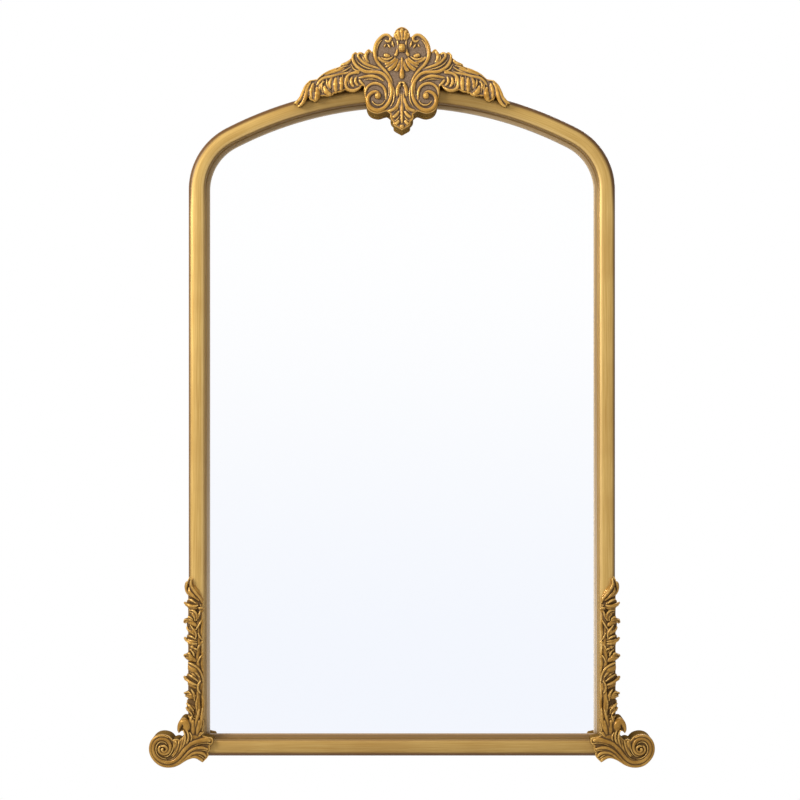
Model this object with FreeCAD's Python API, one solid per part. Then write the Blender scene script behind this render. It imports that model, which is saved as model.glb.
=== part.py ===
import FreeCAD, Part
import math
import os
from FreeCAD import Vector

# Arched wall mirror: a gilded moulding with carved castings, the glass and its back.
# X points right and Z up, and the front looks along -Y. The wall is the plane Y = 0.
# The origin lies on the wall, on the centre line, where the two hanging rings bear.

# Frame outline
OUTER_WIDTH = 525.0
STRAIGHT_HEIGHT = 697.0
SHOULDER_RADIUS = 85.0
CROWN_RADIUS = 472.0

# Moulding section, measured in from the outer edge and forward from the back
MOULDING_WIDTH = 25.0
MOULDING_DEPTH = 25.0
OUTER_ROLL = 7.0
INNER_ROLL = 5.0
FACE_RADIUS = 22.0
FACE_CENTRE_SHARE = 0.512
LIP_WIDTH = 4.5
LIP_THICKNESS = 4.0
LIP_ROLL = 1.5
RABBET_WIDTH = 6.0

# Glass, cushion sheet and back board in the rabbet
GLASS_THICKNESS = 4.0
GLASS_EDGE_GAP = 1.0
CUSHION_THICKNESS = 1.0
BOARD_THICKNESS = 3.0
BOARD_EDGE_GAP = 0.5

# Dowels in the crown and spring-line joints
DOWEL_DIAMETER = 8.0
DOWEL_LENGTH = 40.0
DOWEL_INSET_SHARE = 0.44
DOWEL_DEPTH_SHARE = 0.44
DOWEL_CLEARANCE = 0.05

# Corner plates over the bottom mitres
PLATE_THICKNESS = 1.5
PLATE_ARM = 60.0
PLATE_WIDTH = 14.0
PLATE_INSET = 2.5
PLATE_ROUND = 3.0
PLATE_HOLE_SHARES = (0.60, 0.88)

# Screws: countersunk ones hold plates and castings, pan heads hold buttons and hangers
SCREW_DIAMETER = 3.0
SCREW_CLEARANCE = 0.05
SUNK_HEAD_DIAMETER = 6.0
PLATE_SCREW_LENGTH = 14.0
CASTING_SCREW_BITE = 4.0
PAN_HEAD_DIAMETER = 7.0
PAN_HEAD_HEIGHT = 2.0
PAN_HEAD_ROUND = 1.2
PAN_SCREW_LENGTH = 14.0

# Turn buttons on the back of the frame
BUTTON_LENGTH = 28.0
BUTTON_WIDTH = 9.0
BUTTON_THICKNESS = 1.2
BUTTON_PIVOT_INSET = 9.5
BUTTON_FLOAT = 0.3
BUTTON_FIT = 0.08
BUTTON_LOW_HEIGHT = 170.0
BUTTON_HIGH_HEIGHT = 430.0
BUTTON_RAIL_OFFSET = 105.0
BUTTON_CROWN_ANGLE = 15.0

# Hanger straps and rings on the stiles
HANGER_HEIGHT = 605.0
STRAP_LENGTH = 38.0
STRAP_WIDTH = 12.0
STRAP_THICKNESS = 1.2
STRAP_ROUND = 4.0
STRAP_HOLE_SHARES = (0.36, 0.78)
RING_WIRE = 2.5
RING_HALF_WIDTH = 9.0
RING_LEG = 6.0
RING_BEND = 2.5
RING_FIT = 0.08

# Rubber bumpers that keep the frame off the wall
BUMPER_DIAMETER = 13.0
BUMPER_THICKNESS = 6.0
BUMPER_ROUND = 2.0
BUMPER_HEIGHT = 105.0

# Castings: a glue line parts each from the moulding it sits on
GLUE_LINE = 0.2
RELIEF_SHARE = 0.9
RIDGE_END_SHARE = 0.14
RIDGE_TIP_SHARE = 0.4
RIDGE_ROOT = 2.0
LEAST_STATIONS = 6

# Crest over the crown
CREST_HALF_SPAN = 133.0
CREST_HEIGHT = 131.0
CREST_SEAT_SHARE = 0.455
CREST_BACK = 9.5
CREST_GROUND = 32.0
CREST_RIDGE = 5.0
CREST_SCREW_INSET = 5.0
CREST_SCREW_ANGLES = (5.0, 11.0)

# Scrolls at the bottom corners
SCROLL_UNIT = 49.3
SCROLL_BACK = 3.0
SCROLL_GROUND = 30.0
SCROLL_RIDGE = 5.6
SCROLL_SCREW_REACH = 24.0
SCROLL_SCREW_INSET = 12.0

# Leaf sprays on the stiles
SPRAY_LENGTH = 191.0
SPRAY_FOOT = 30.5
SPRAY_SKIN = 2.2
SPRAY_LIFT = 1.8
SPRAY_RIDGE = 6.4
SPRAY_ROOT = 9.0
SPRAY_CURL_SHARE = 0.42

# One overrun serves every cut that has to pass a face
OVERRUN = 5.0

HALF_TURN = 180.0
QUARTER_TURN = 90.0

# Worked out from the sizes above
HALF_WIDTH = OUTER_WIDTH / 2
RABBET_DEPTH = GLASS_THICKNESS + CUSHION_THICKNESS + BOARD_THICKNESS
LIP_FRONT = RABBET_DEPTH + LIP_THICKNESS
BODY_WIDTH = MOULDING_WIDTH - LIP_WIDTH
MITRE_REACH = MOULDING_WIDTH + OVERRUN
RING_RADIUS = RING_WIRE / 2
RING_REACH = RING_LEG + RING_HALF_WIDTH - RING_RADIUS
LOOP_BORE = RING_RADIUS + RING_FIT
LOOP_OUTER = LOOP_BORE + STRAP_THICKNESS
BACK_Y = -BUMPER_THICKNESS
PIVOT_Y = BACK_Y + LOOP_OUTER
FOOT_Z = -(HANGER_HEIGHT + RING_REACH)
SPRING_Z = FOOT_Z + STRAIGHT_HEIGHT
SHOULDER_X = HALF_WIDTH - SHOULDER_RADIUS
CENTRE_LINK = CROWN_RADIUS - SHOULDER_RADIUS
CROWN_Z = SPRING_Z - math.sqrt(CENTRE_LINK ** 2 - SHOULDER_X ** 2)
CROWN_TOP_Z = CROWN_Z + CROWN_RADIUS
SHOULDER_TURN = math.degrees(math.acos(SHOULDER_X / CENTRE_LINK))
STILE_BACK_MIDDLE = (MOULDING_WIDTH - RABBET_WIDTH) / 2

FRONT = Vector(0, -1, 0)
UP = Vector(0, 0, 1)
ACROSS = Vector(1, 0, 0)
MIDDLE = Vector(0, 0, 0)

# Crest outline, right half, from the top of the bud round to the tip of the drop:
# runs of points between the notches, as shares of the half span and of the height
CREST_OUTLINE_SHARES = (
    ((0, 0.985), (0.036, 0.973), (0.060, 0.948), (0.072, 0.915), (0.078, 0.885)),
    ((0.078, 0.885), (0.105, 0.905), (0.145, 0.920), (0.192, 0.896), (0.236, 0.848),
     (0.259, 0.785), (0.266, 0.735)),
    ((0.266, 0.735), (0.283, 0.762), (0.306, 0.778), (0.330, 0.758), (0.344, 0.730)),
    ((0.344, 0.730), (0.364, 0.746), (0.388, 0.750), (0.409, 0.736)),
    ((0.409, 0.736), (0.432, 0.750), (0.450, 0.732), (0.460, 0.700)),
    ((0.460, 0.700), (0.490, 0.675), (0.522, 0.655), (0.556, 0.640), (0.566, 0.617)),
    ((0.566, 0.617), (0.610, 0.602), (0.665, 0.582), (0.722, 0.548), (0.782, 0.497)),
    ((0.782, 0.497), (0.830, 0.487), (0.868, 0.466), (0.900, 0.428), (0.922, 0.370),
     (0.958, 0.312), (0.998, 0.268)),
    ((0.998, 0.268), (0.972, 0.262), (0.956, 0.236)),
    ((0.956, 0.236), (0.918, 0.252), (0.890, 0.296), (0.876, 0.338)),
    ((0.876, 0.338), (0.856, 0.338)),
    ((0.856, 0.338), (0.844, 0.306), (0.826, 0.298)),
    ((0.826, 0.298), (0.806, 0.286)),
    ((0.806, 0.286), (0.780, 0.296), (0.762, 0.318), (0.752, 0.346)),
    ((0.752, 0.346), (0.736, 0.338), (0.718, 0.344)),
    ((0.718, 0.344), (0.700, 0.338), (0.668, 0.338), (0.634, 0.350)),
    ((0.634, 0.350), (0.626, 0.366)),
    ((0.626, 0.366), (0.612, 0.364), (0.594, 0.376)),
    ((0.594, 0.376), (0.570, 0.376), (0.546, 0.386), (0.526, 0.398)),
    ((0.526, 0.398), (0.500, 0.388), (0.456, 0.378), (0.410, 0.390), (0.378, 0.420)),
    ((0.378, 0.420), (0.362, 0.436), (0.346, 0.430)),
    ((0.346, 0.430), (0.348, 0.380), (0.338, 0.320), (0.330, 0.262), (0.304, 0.208),
     (0.258, 0.182), (0.210, 0.178), (0.166, 0.192), (0.140, 0.198)),
    ((0.140, 0.198), (0.118, 0.182), (0.102, 0.168)),
    ((0.102, 0.168), (0.106, 0.140), (0.092, 0.112), (0.076, 0.098)),
    ((0.076, 0.098), (0.074, 0.066), (0.050, 0.042), (0.022, 0.022), (0, 0.006)),
)

# Crest ridges, right half: widths at start, middle and end as shares of the crest ridge,
# then the points of the ridge's line, as shares of the half span and of the height
CREST_RIDGE_SHARES = (
    # bud
    ((0.7, 1.1, 1.1), ((0.020, 0.858), (0.030, 0.900), (0.034, 0.952))),
    ((0.6, 0.9, 0.9), ((0.036, 0.862), (0.052, 0.890), (0.062, 0.925))),
    # strap beside the bead
    ((0.5, 0.6, 0.9), ((0.046, 0.862), (0.037, 0.825), (0.040, 0.775), (0.050, 0.735),
                       (0.066, 0.712))),
    # heart scroll
    ((0.7, 1.0, 0.6), ((0.152, 0.864), (0.138, 0.849), (0.119, 0.849), (0.106, 0.864), (0.107, 0.886),
                       (0.122, 0.903), (0.150, 0.909), (0.194, 0.884), (0.230, 0.838), (0.248, 0.780),
                       (0.247, 0.720), (0.228, 0.662), (0.196, 0.618), (0.158, 0.578), (0.122, 0.532),
                       (0.098, 0.486), (0.084, 0.436))),
    # leaf tip above the band
    ((0.6, 0.9, 0.9), ((0.300, 0.652), (0.330, 0.690), (0.328, 0.728), (0.306, 0.756))),
    # upper band that ends in a small curl
    ((0.5, 0.8, 0.6), ((0.180, 0.580), (0.240, 0.604), (0.306, 0.626), (0.362, 0.660), (0.390, 0.690),
                       (0.402, 0.716), (0.395, 0.734), (0.378, 0.737), (0.366, 0.726))),
    # S band that winds into the volute
    ((0.9, 0.9, 1.0), ((0.438, 0.736), (0.452, 0.694), (0.432, 0.636), (0.382, 0.588), (0.310, 0.562),
                       (0.226, 0.560), (0.164, 0.536), (0.122, 0.484), (0.099, 0.424), (0.096, 0.358),
                       (0.116, 0.290), (0.158, 0.234), (0.212, 0.208), (0.266, 0.218), (0.304, 0.258),
                       (0.314, 0.308), (0.292, 0.356), (0.250, 0.376), (0.212, 0.362), (0.208, 0.330),
                       (0.228, 0.322))),
    # crescent over the volute
    ((0.6, 0.8, 0.6), ((0.146, 0.300), (0.150, 0.372), (0.176, 0.428), (0.226, 0.454), (0.284, 0.448),
                       (0.322, 0.414), (0.334, 0.352))),
    # pointed leaf
    ((0.5, 0.9, 0.6), ((0.164, 0.474), (0.206, 0.504), (0.266, 0.524), (0.332, 0.520), (0.396, 0.508))),
    ((0.6, 0.7, 0.4), ((0.392, 0.492), (0.368, 0.458), (0.344, 0.438))),
    # rays of the palmette and the bridge to the heart scroll
    ((0.6, 0.9, 0.7), ((0.017, 0.668), (0.024, 0.620), (0.038, 0.588), (0.058, 0.572))),
    ((0.6, 0.9, 0.7), ((0.034, 0.684), (0.062, 0.630), (0.096, 0.594), (0.126, 0.578))),
    ((0.6, 0.9, 0.6), ((0.048, 0.692), (0.086, 0.648), (0.122, 0.622), (0.152, 0.612))),
    ((0.6, 0.8, 0.8), ((0.112, 0.656), (0.152, 0.656), (0.192, 0.674), (0.222, 0.704))),
    ((0.7, 1.1, 0.8), ((0.108, 0.708), (0.136, 0.714), (0.166, 0.722))),
    # drop: hood, curled leaf and two lobes
    ((0.9, 1.0, 0.8), ((0.012, 0.446), (0.030, 0.428), (0.040, 0.388), (0.046, 0.334))),
    ((0.7, 0.9, 0.8), ((0.024, 0.322), (0.032, 0.276), (0.056, 0.230), (0.092, 0.206), (0.122, 0.204))),
    ((0.6, 0.9, 0.8), ((0.028, 0.200), (0.048, 0.164), (0.084, 0.140))),
    ((0.6, 0.9, 0.8), ((0.026, 0.112), (0.044, 0.088), (0.060, 0.074))),
    # wing: curled lobe beside the pointed leaf
    ((0.7, 0.9, 0.7), ((0.390, 0.416), (0.424, 0.396), (0.468, 0.392), (0.506, 0.416), (0.518, 0.464),
                       (0.502, 0.518), (0.452, 0.552), (0.392, 0.552))),
    ((0.5, 0.8, 0.6), ((0.416, 0.520), (0.426, 0.470), (0.400, 0.436))),
    ((0.5, 0.9, 0.6), ((0.456, 0.516), (0.466, 0.464), (0.440, 0.424))),
    # wing: lobes that hang over the moulding
    ((0.8, 1.3, 0.8), ((0.562, 0.516), (0.556, 0.452), (0.562, 0.390))),
    ((0.8, 1.4, 0.8), ((0.606, 0.512), (0.610, 0.446), (0.608, 0.378))),
    ((0.6, 1.0, 0.7), ((0.636, 0.516), (0.660, 0.466), (0.656, 0.404))),
    ((0.7, 1.4, 0.9), ((0.712, 0.436), (0.696, 0.382), (0.650, 0.354))),
    ((0.7, 1.5, 0.8), ((0.784, 0.424), (0.778, 0.362), (0.798, 0.298))),
    ((0.6, 1.0, 0.7), ((0.812, 0.460), (0.834, 0.392), (0.830, 0.318))),
    ((0.6, 1.1, 0.7), ((0.832, 0.470), (0.868, 0.414), (0.888, 0.336), (0.950, 0.244))),
    ((0.6, 1.0, 0.7), ((0.866, 0.456), (0.900, 0.392), (0.924, 0.330), (0.988, 0.272))),
    # wing: long ridges along its back
    ((0.6, 0.9, 0.6), ((0.472, 0.674), (0.506, 0.644), (0.552, 0.632))),
    ((0.6, 0.9, 0.7), ((0.524, 0.598), (0.586, 0.574), (0.652, 0.556), (0.712, 0.530))),
    ((0.5, 0.9, 0.7), ((0.462, 0.582), (0.524, 0.550), (0.590, 0.538), (0.652, 0.520), (0.716, 0.506),
                       (0.760, 0.472), (0.784, 0.436))),
)

# Crest ridges on the centre line: bud, bead, palmette, rib of the drop and its end
CREST_CENTRE_SHARES = (
    ((0.7, 1.1, 1.2), ((0, 0.856), (0, 0.905), (0, 0.968))),
    ((1.5, 1.7, 1.5), ((0, 0.824), (0, 0.786), (0, 0.748))),
    ((0.7, 0.9, 1.5), ((0, 0.700), (0, 0.600), (0, 0.500))),
    ((0.5, 0.8, 0.8), ((0, 0.372), (0, 0.235), (0, 0.086))),
    ((1.0, 1.2, 0.8), ((0, 0.066), (0, 0.048), (0, 0.024))),
)

# Corner scroll outline, from the flared end round the volute and over the hook leaf:
# shares of the scroll unit, outward and up from the frame's bottom corner
SCROLL_OUTLINE_SHARES = (
    ((-0.600, 0.490), (-0.635, 0.420), (-0.606, 0.340), (-0.550, 0.300)),
    ((-0.550, 0.300), (-0.556, 0.220), (-0.505, 0.120)),
    ((-0.505, 0.120), (-0.515, 0.040), (-0.450, -0.050), (-0.375, -0.125)),
    ((-0.375, -0.125), (-0.300, -0.080), (-0.200, -0.026), (-0.090, -0.024), (0.060, -0.095),
     (0.250, -0.200), (0.450, -0.250), (0.650, -0.222), (0.850, -0.110), (0.970, 0.070),
     (1.000, 0.270), (0.950, 0.430), (0.830, 0.545), (0.660, 0.575), (0.500, 0.525), (0.400, 0.430)),
    ((0.400, 0.430), (0.330, 0.456), (0.265, 0.455), (0.210, 0.430)),
    ((0.210, 0.430), (0.130, 0.500), (0.060, 0.560)),
    ((0.060, 0.560), (0.085, 0.635), (0.145, 0.660), (0.196, 0.635), (0.232, 0.600)),
    ((0.232, 0.600), (0.272, 0.690), (0.262, 0.820), (0.200, 0.936), (0.100, 0.988), (0.020, 0.962),
     (-0.020, 0.905)),
    ((-0.020, 0.905), (-0.052, 0.960), (-0.120, 0.988), (-0.186, 0.970), (-0.218, 0.920)),
    ((-0.218, 0.920), (-0.252, 0.968), (-0.314, 0.988), (-0.376, 0.960), (-0.405, 0.890)),
    ((-0.405, 0.890), (-0.392, 0.800), (-0.370, 0.720), (-0.390, 0.620), (-0.340, 0.560)),
    ((-0.340, 0.560), (-0.460, 0.520), (-0.600, 0.490)),
)

# Corner scroll ridges: widths as shares of the scroll ridge, points as for the outline
SCROLL_RIDGE_SHARES = (
    # broad lobe that winds into the volute
    ((1.4, 1.0, 0.8), ((-0.570, 0.410), (-0.400, 0.440), (-0.200, 0.400), (-0.020, 0.300), (0.105, 0.160),
                       (0.225, 0.020), (0.380, -0.090), (0.560, -0.120), (0.740, -0.060), (0.865, 0.070),
                       (0.905, 0.240), (0.850, 0.390), (0.730, 0.465), (0.590, 0.445), (0.505, 0.370),
                       (0.472, 0.280), (0.485, 0.195), (0.535, 0.125), (0.605, 0.095), (0.680, 0.105),
                       (0.738, 0.150), (0.758, 0.210), (0.738, 0.266), (0.690, 0.288))),
    # lobe that becomes the rim of the volute
    ((0.9, 0.9, 0.7), ((-0.510, 0.205), (-0.380, 0.240), (-0.220, 0.235), (-0.070, 0.165), (0.055, 0.050),
                       (0.190, -0.075), (0.345, -0.170), (0.520, -0.202), (0.700, -0.168), (0.850, -0.055),
                       (0.945, 0.100), (0.962, 0.270), (0.910, 0.420), (0.800, 0.515), (0.660, 0.540),
                       (0.530, 0.490))),
    ((0.8, 0.9, 0.5), ((-0.460, 0.020), (-0.385, 0.100), (-0.250, 0.130), (-0.100, 0.085), (0.030, -0.010),
                       (0.160, -0.110), (0.300, -0.185))),
    ((0.7, 0.8, 0.4), ((-0.385, -0.085), (-0.310, -0.020), (-0.190, 0.026), (-0.060, 0.000),
                       (0.060, -0.070))),
    # flutes between the volute and the hook leaf
    ((0.6, 0.9, 0.5), ((0.100, 0.490), (0.130, 0.350), (0.205, 0.180), (0.320, 0.030))),
    ((0.5, 0.8, 0.5), ((0.225, 0.410), (0.248, 0.280), (0.310, 0.140), (0.420, 0.020))),
    ((0.5, 0.7, 0.4), ((0.325, 0.420), (0.335, 0.300), (0.385, 0.170))),
    # hook leaf
    ((0.9, 2.0, 0.6), ((-0.050, 0.420), (-0.020, 0.600), (0.005, 0.740), (0.060, 0.860), (0.140, 0.870),
                       (0.205, 0.790), (0.235, 0.690), (0.234, 0.630))),
    # stems that climb to the spray and the small leaf beside them
    ((0.7, 1.3, 1.0), ((-0.130, 0.460), (-0.140, 0.720), (-0.120, 0.950))),
    ((0.6, 1.2, 1.0), ((-0.230, 0.500), (-0.262, 0.740), (-0.314, 0.950))),
    ((0.5, 0.8, 0.6), ((-0.180, 0.470), (-0.280, 0.560), (-0.360, 0.630))),
)

# Leaf spray outline: shares of the moulding's width in from its outer edge, and of the length
SPRAY_OUTLINE_SHARES = (
    ((-0.12, 0.10), (0.62, 0.10)),
    ((0.62, 0.10), (0.66, 0.22), (0.70, 0.33), (0.62, 0.46), (0.66, 0.58), (0.68, 0.72), (0.74, 0.83)),
    ((0.74, 0.83), (0.52, 0.89), (0.30, 0.93), (0.20, 0.975)),
    ((0.20, 0.975), (-0.12, 0.96)),
    ((-0.12, 0.96), (-0.12, 0.10)),
)

# Leaf spray ridges: widths as shares of the spray ridge, points as for the outline
SPRAY_RIDGE_SHARES = (
    # stem
    ((1.0, 0.8, 0.6), ((0.42, 0.115), (0.50, 0.20), (0.56, 0.30), (0.52, 0.42), (0.49, 0.50), (0.55, 0.58),
                       (0.51, 0.66), (0.58, 0.75), (0.62, 0.82))),
    # lobes that reach past the outer edge, from the foot up
    ((0.5, 0.8, 0.6), ((0.34, 0.118), (0.12, 0.134), (-0.10, 0.146))),
    ((0.5, 0.8, 0.6), ((0.42, 0.146), (0.18, 0.166), (-0.02, 0.178))),
    ((0.6, 1.4, 1.1), ((0.44, 0.214), (0.15, 0.232), (-0.15, 0.236))),
    ((0.5, 0.7, 0.6), ((0.48, 0.196), (0.38, 0.240), (0.20, 0.272))),
    ((0.7, 1.1, 0.8), ((0.56, 0.284), (0.26, 0.300), (0.00, 0.324), (-0.19, 0.346))),
    ((0.6, 0.8, 0.6), ((0.56, 0.324), (0.35, 0.345), (0.08, 0.370))),
    ((0.6, 1.6, 1.2), ((0.66, 0.350), (0.46, 0.388), (0.20, 0.412), (-0.08, 0.424))),
    ((0.6, 1.4, 1.1), ((0.46, 0.452), (0.16, 0.475), (-0.16, 0.482))),
    ((0.5, 0.7, 0.6), ((0.48, 0.500), (0.32, 0.520), (0.08, 0.530))),
    ((0.7, 1.1, 0.7), ((0.54, 0.556), (0.26, 0.564), (0.02, 0.578), (-0.15, 0.597))),
    ((0.6, 0.8, 0.6), ((0.50, 0.592), (0.27, 0.606), (0.04, 0.620))),
    ((0.6, 1.3, 0.9), ((0.50, 0.620), (0.28, 0.652), (0.00, 0.664))),
    ((0.6, 1.2, 0.8), ((0.48, 0.680), (0.20, 0.704), (-0.06, 0.716), (-0.19, 0.702))),
    ((0.5, 0.9, 0.7), ((0.50, 0.700), (0.46, 0.746), (0.26, 0.774), (0.05, 0.782))),
    ((0.6, 1.0, 0.7), ((0.56, 0.800), (0.20, 0.810), (-0.19, 0.818))),
    ((0.5, 0.8, 0.6), ((0.50, 0.822), (0.28, 0.838), (0.06, 0.850))),
    # flame leaf at the top
    ((0.5, 1.1, 0.6), ((0.60, 0.840), (0.30, 0.874), (0.02, 0.900), (-0.09, 0.934), (-0.02, 0.968))),
    ((0.5, 1.2, 0.6), ((0.70, 0.830), (0.50, 0.884), (0.26, 0.924), (0.14, 0.958), (0.17, 0.984))),
    # small leaves on the inner side
    ((0.6, 0.8, 0.5), ((0.54, 0.244), (0.60, 0.280), (0.66, 0.318))),
    ((0.5, 0.5, 0.4), ((0.50, 0.430), (0.60, 0.462), (0.76, 0.488))),
    ((0.5, 0.6, 0.5), ((0.54, 0.560), (0.64, 0.576), (0.76, 0.580))),
    ((0.6, 0.9, 0.8), ((0.58, 0.762), (0.66, 0.784), (0.70, 0.800))),
)


def at(x, depth, z):
    """Point at a depth in front of the frame's back."""
    return Vector(x, BACK_Y - depth, z)


def line(start, end):
    return Part.LineSegment(start, end).toShape()


def smooth(points):
    """Straight edge through two points, or one smooth edge through more."""
    if len(points) == 2:
        return line(points[0], points[1])
    curve = Part.BSplineCurve()
    curve.interpolate(points)
    return curve.toShape()


def polar(centre, radius, degrees):
    turn = math.radians(degrees)
    return (centre[0] + radius * math.cos(turn), centre[1] + radius * math.sin(turn))


def arc(place, centre, radius, start, end):
    """Arc in a plane that place() puts in space, from one angle in degrees to another."""
    angles = (start, (start + end) / 2, end)
    first, middle, last = [place(*polar(centre, radius, angle)) for angle in angles]
    return Part.Arc(first, middle, last).toShape()


def flat(x, z):
    """Point on the frame's back plane."""
    return at(x, 0, z)


def prism(edges, back, front):
    """Solid over a closed outline drawn on the back plane, between two depths."""
    face = Part.Face(Part.Wire(edges))
    solid = face.extrude(FRONT * (front - back))
    solid.translate(FRONT * back)
    return solid


def polygon(points):
    closed = list(points) + [points[0]]
    return [line(start, end) for start, end in zip(closed, closed[1:])]


def mirrored(shape):
    return shape.mirror(MIDDLE, ACROSS)


def depth_edges(solid):
    """Straight edges of a plate that run from its back to its front."""
    headings = [(edge, edge.tangentAt(edge.FirstParameter)) for edge in solid.Edges]
    return [edge for edge, heading in headings if abs(heading.y) > abs(heading.x) + abs(heading.z)]


def rim_at(solid, y):
    """Round edge of a turned solid that lies nearest a plane across its axis."""
    rims = [edge for edge in solid.Edges if edge.Closed]
    return min(rims, key=lambda edge: abs(edge.CenterOfMass.y - y))


# Moulding

def roll_centres():
    """Centres of the outer roll, the broad face and the inner roll, each tangent to the next."""
    face = (BODY_WIDTH * FACE_CENTRE_SHARE, MOULDING_DEPTH - FACE_RADIUS)
    outer_rise = math.sqrt((FACE_RADIUS - OUTER_ROLL) ** 2 - (face[0] - OUTER_ROLL) ** 2)
    inner_across = BODY_WIDTH - INNER_ROLL
    inner_rise = math.sqrt((FACE_RADIUS - INNER_ROLL) ** 2 - (inner_across - face[0]) ** 2)
    return (OUTER_ROLL, face[1] + outer_rise), face, (inner_across, face[1] + inner_rise)


def front_edges(place, grow, base):
    """Front of the moulding from the outer side over the rolls to the lip, grown all round."""
    outer, face, inner = roll_centres()
    outer_turn = math.degrees(math.atan2(outer[1] - face[1], outer[0] - face[0]))
    inner_turn = math.degrees(math.atan2(inner[1] - face[1], inner[0] - face[0]))
    lip = (MOULDING_WIDTH - LIP_ROLL, LIP_FRONT - LIP_ROLL)
    step = BODY_WIDTH + grow
    return [
        line(place(-grow, base), place(-grow, outer[1])),
        arc(place, outer, OUTER_ROLL + grow, HALF_TURN, outer_turn),
        arc(place, face, FACE_RADIUS + grow, outer_turn, inner_turn),
        arc(place, inner, INNER_ROLL + grow, inner_turn, 0),
        line(place(step, inner[1]), place(step, LIP_FRONT + grow)),
        line(place(step, LIP_FRONT + grow), place(lip[0], LIP_FRONT + grow)),
        arc(place, lip, LIP_ROLL + grow, QUARTER_TURN, 0),
    ]


def moulding_face(place):
    """Section of the moulding with the rabbet cut in its back."""
    corners = [
        place(MOULDING_WIDTH, LIP_FRONT - LIP_ROLL),
        place(MOULDING_WIDTH, RABBET_DEPTH),
        place(MOULDING_WIDTH - RABBET_WIDTH, RABBET_DEPTH),
        place(MOULDING_WIDTH - RABBET_WIDTH, 0),
        place(0, 0),
    ]
    back = [line(start, end) for start, end in zip(corners, corners[1:])]
    return Part.Face(Part.Wire(front_edges(place, 0, 0) + back))


def grown_face(place, grow):
    """Section of the moulding without its rabbet, grown to cut the seat of a casting."""
    corners = [
        place(MOULDING_WIDTH + grow, LIP_FRONT - LIP_ROLL),
        place(MOULDING_WIDTH + grow, 0),
        place(-grow, 0),
    ]
    back = [line(start, end) for start, end in zip(corners, corners[1:])]
    return Part.Face(Part.Wire(front_edges(place, grow, 0) + back))


def around(centre_x, centre_z, radius, degrees):
    """Places a section across an arc of the frame, at an angle up from the horizontal."""
    turn = math.radians(degrees)
    return lambda across, depth: at(centre_x + (radius - across) * math.cos(turn), depth,
                                    centre_z + (radius - across) * math.sin(turn))


def on_stile(height):
    """Places a section across the right stile at a height."""
    return lambda across, depth: at(HALF_WIDTH - across, depth, height)


def on_rail(x):
    """Places a section across the bottom rail."""
    return lambda across, depth: at(x, depth, FOOT_Z + across)


def turned(face, centre_x, centre_z, degrees):
    return face.revolve(Vector(centre_x, 0, centre_z), FRONT, degrees)


def arch_right():
    """Shoulder and half the crown, bent in one piece."""
    start = moulding_face(around(SHOULDER_X, SPRING_Z, SHOULDER_RADIUS, 0))
    shoulder = turned(start, SHOULDER_X, SPRING_Z, SHOULDER_TURN)
    haunch = moulding_face(around(0, CROWN_Z, CROWN_RADIUS, SHOULDER_TURN))
    crown = turned(haunch, 0, CROWN_Z, QUARTER_TURN - SHOULDER_TURN)
    return shoulder.fuse(crown)


def mitre_prism(corners):
    edges = polygon([flat(x, z) for x, z in corners])
    return prism(edges, -OVERRUN, MOULDING_DEPTH + OVERRUN)


def stile_waste():
    """What the right mitre takes off the stile's foot."""
    return mitre_prism([
        (HALF_WIDTH + OVERRUN, FOOT_Z - OVERRUN),
        (HALF_WIDTH - MITRE_REACH, FOOT_Z + MITRE_REACH),
        (HALF_WIDTH - MITRE_REACH, FOOT_Z - OVERRUN),
    ])


def rail_waste():
    """What the right mitre takes off the rail's end."""
    return mitre_prism([
        (HALF_WIDTH + OVERRUN, FOOT_Z - OVERRUN),
        (HALF_WIDTH + OVERRUN, FOOT_Z + MITRE_REACH),
        (HALF_WIDTH - MITRE_REACH, FOOT_Z + MITRE_REACH),
    ])


def stile_right():
    """Straight side, mitred at the foot."""
    bar = moulding_face(on_stile(SPRING_Z)).extrude(UP * (FOOT_Z - SPRING_Z))
    return bar.cut(stile_waste())


def bottom_rail():
    """Rail mitred at both ends."""
    bar = moulding_face(on_rail(-HALF_WIDTH)).extrude(ACROSS * OUTER_WIDTH)
    waste = rail_waste()
    return bar.cut(Part.makeCompound([waste, mirrored(waste)]))


# Glass and backing

def arched_panel(inset, back, front):
    """Sheet that follows the frame's outline at an inset from its outer edge."""
    side = HALF_WIDTH - inset
    low = FOOT_Z + inset
    shoulder = SHOULDER_RADIUS - inset
    crown = CROWN_RADIUS - inset
    edges = [
        line(flat(-side, low), flat(side, low)),
        line(flat(side, low), flat(side, SPRING_Z)),
        arc(flat, (SHOULDER_X, SPRING_Z), shoulder, 0, SHOULDER_TURN),
        arc(flat, (0, CROWN_Z), crown, SHOULDER_TURN, HALF_TURN - SHOULDER_TURN),
        arc(flat, (-SHOULDER_X, SPRING_Z), shoulder, HALF_TURN - SHOULDER_TURN, HALF_TURN),
        line(flat(-side, SPRING_Z), flat(-side, low)),
    ]
    return prism(edges, back, front)


def backing():
    """Glass against the rabbet's face, then the cushion sheet and the board."""
    wall = MOULDING_WIDTH - RABBET_WIDTH
    glass_back = RABBET_DEPTH - GLASS_THICKNESS
    board_front = glass_back - CUSHION_THICKNESS
    return {
        "mirror_glass": arched_panel(wall + GLASS_EDGE_GAP, glass_back, RABBET_DEPTH),
        "cushion_sheet": arched_panel(wall + GLASS_EDGE_GAP, board_front, glass_back),
        "back_board": arched_panel(wall + BOARD_EDGE_GAP, board_front - BOARD_THICKNESS, board_front),
    }


# Dowels and screws

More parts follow.
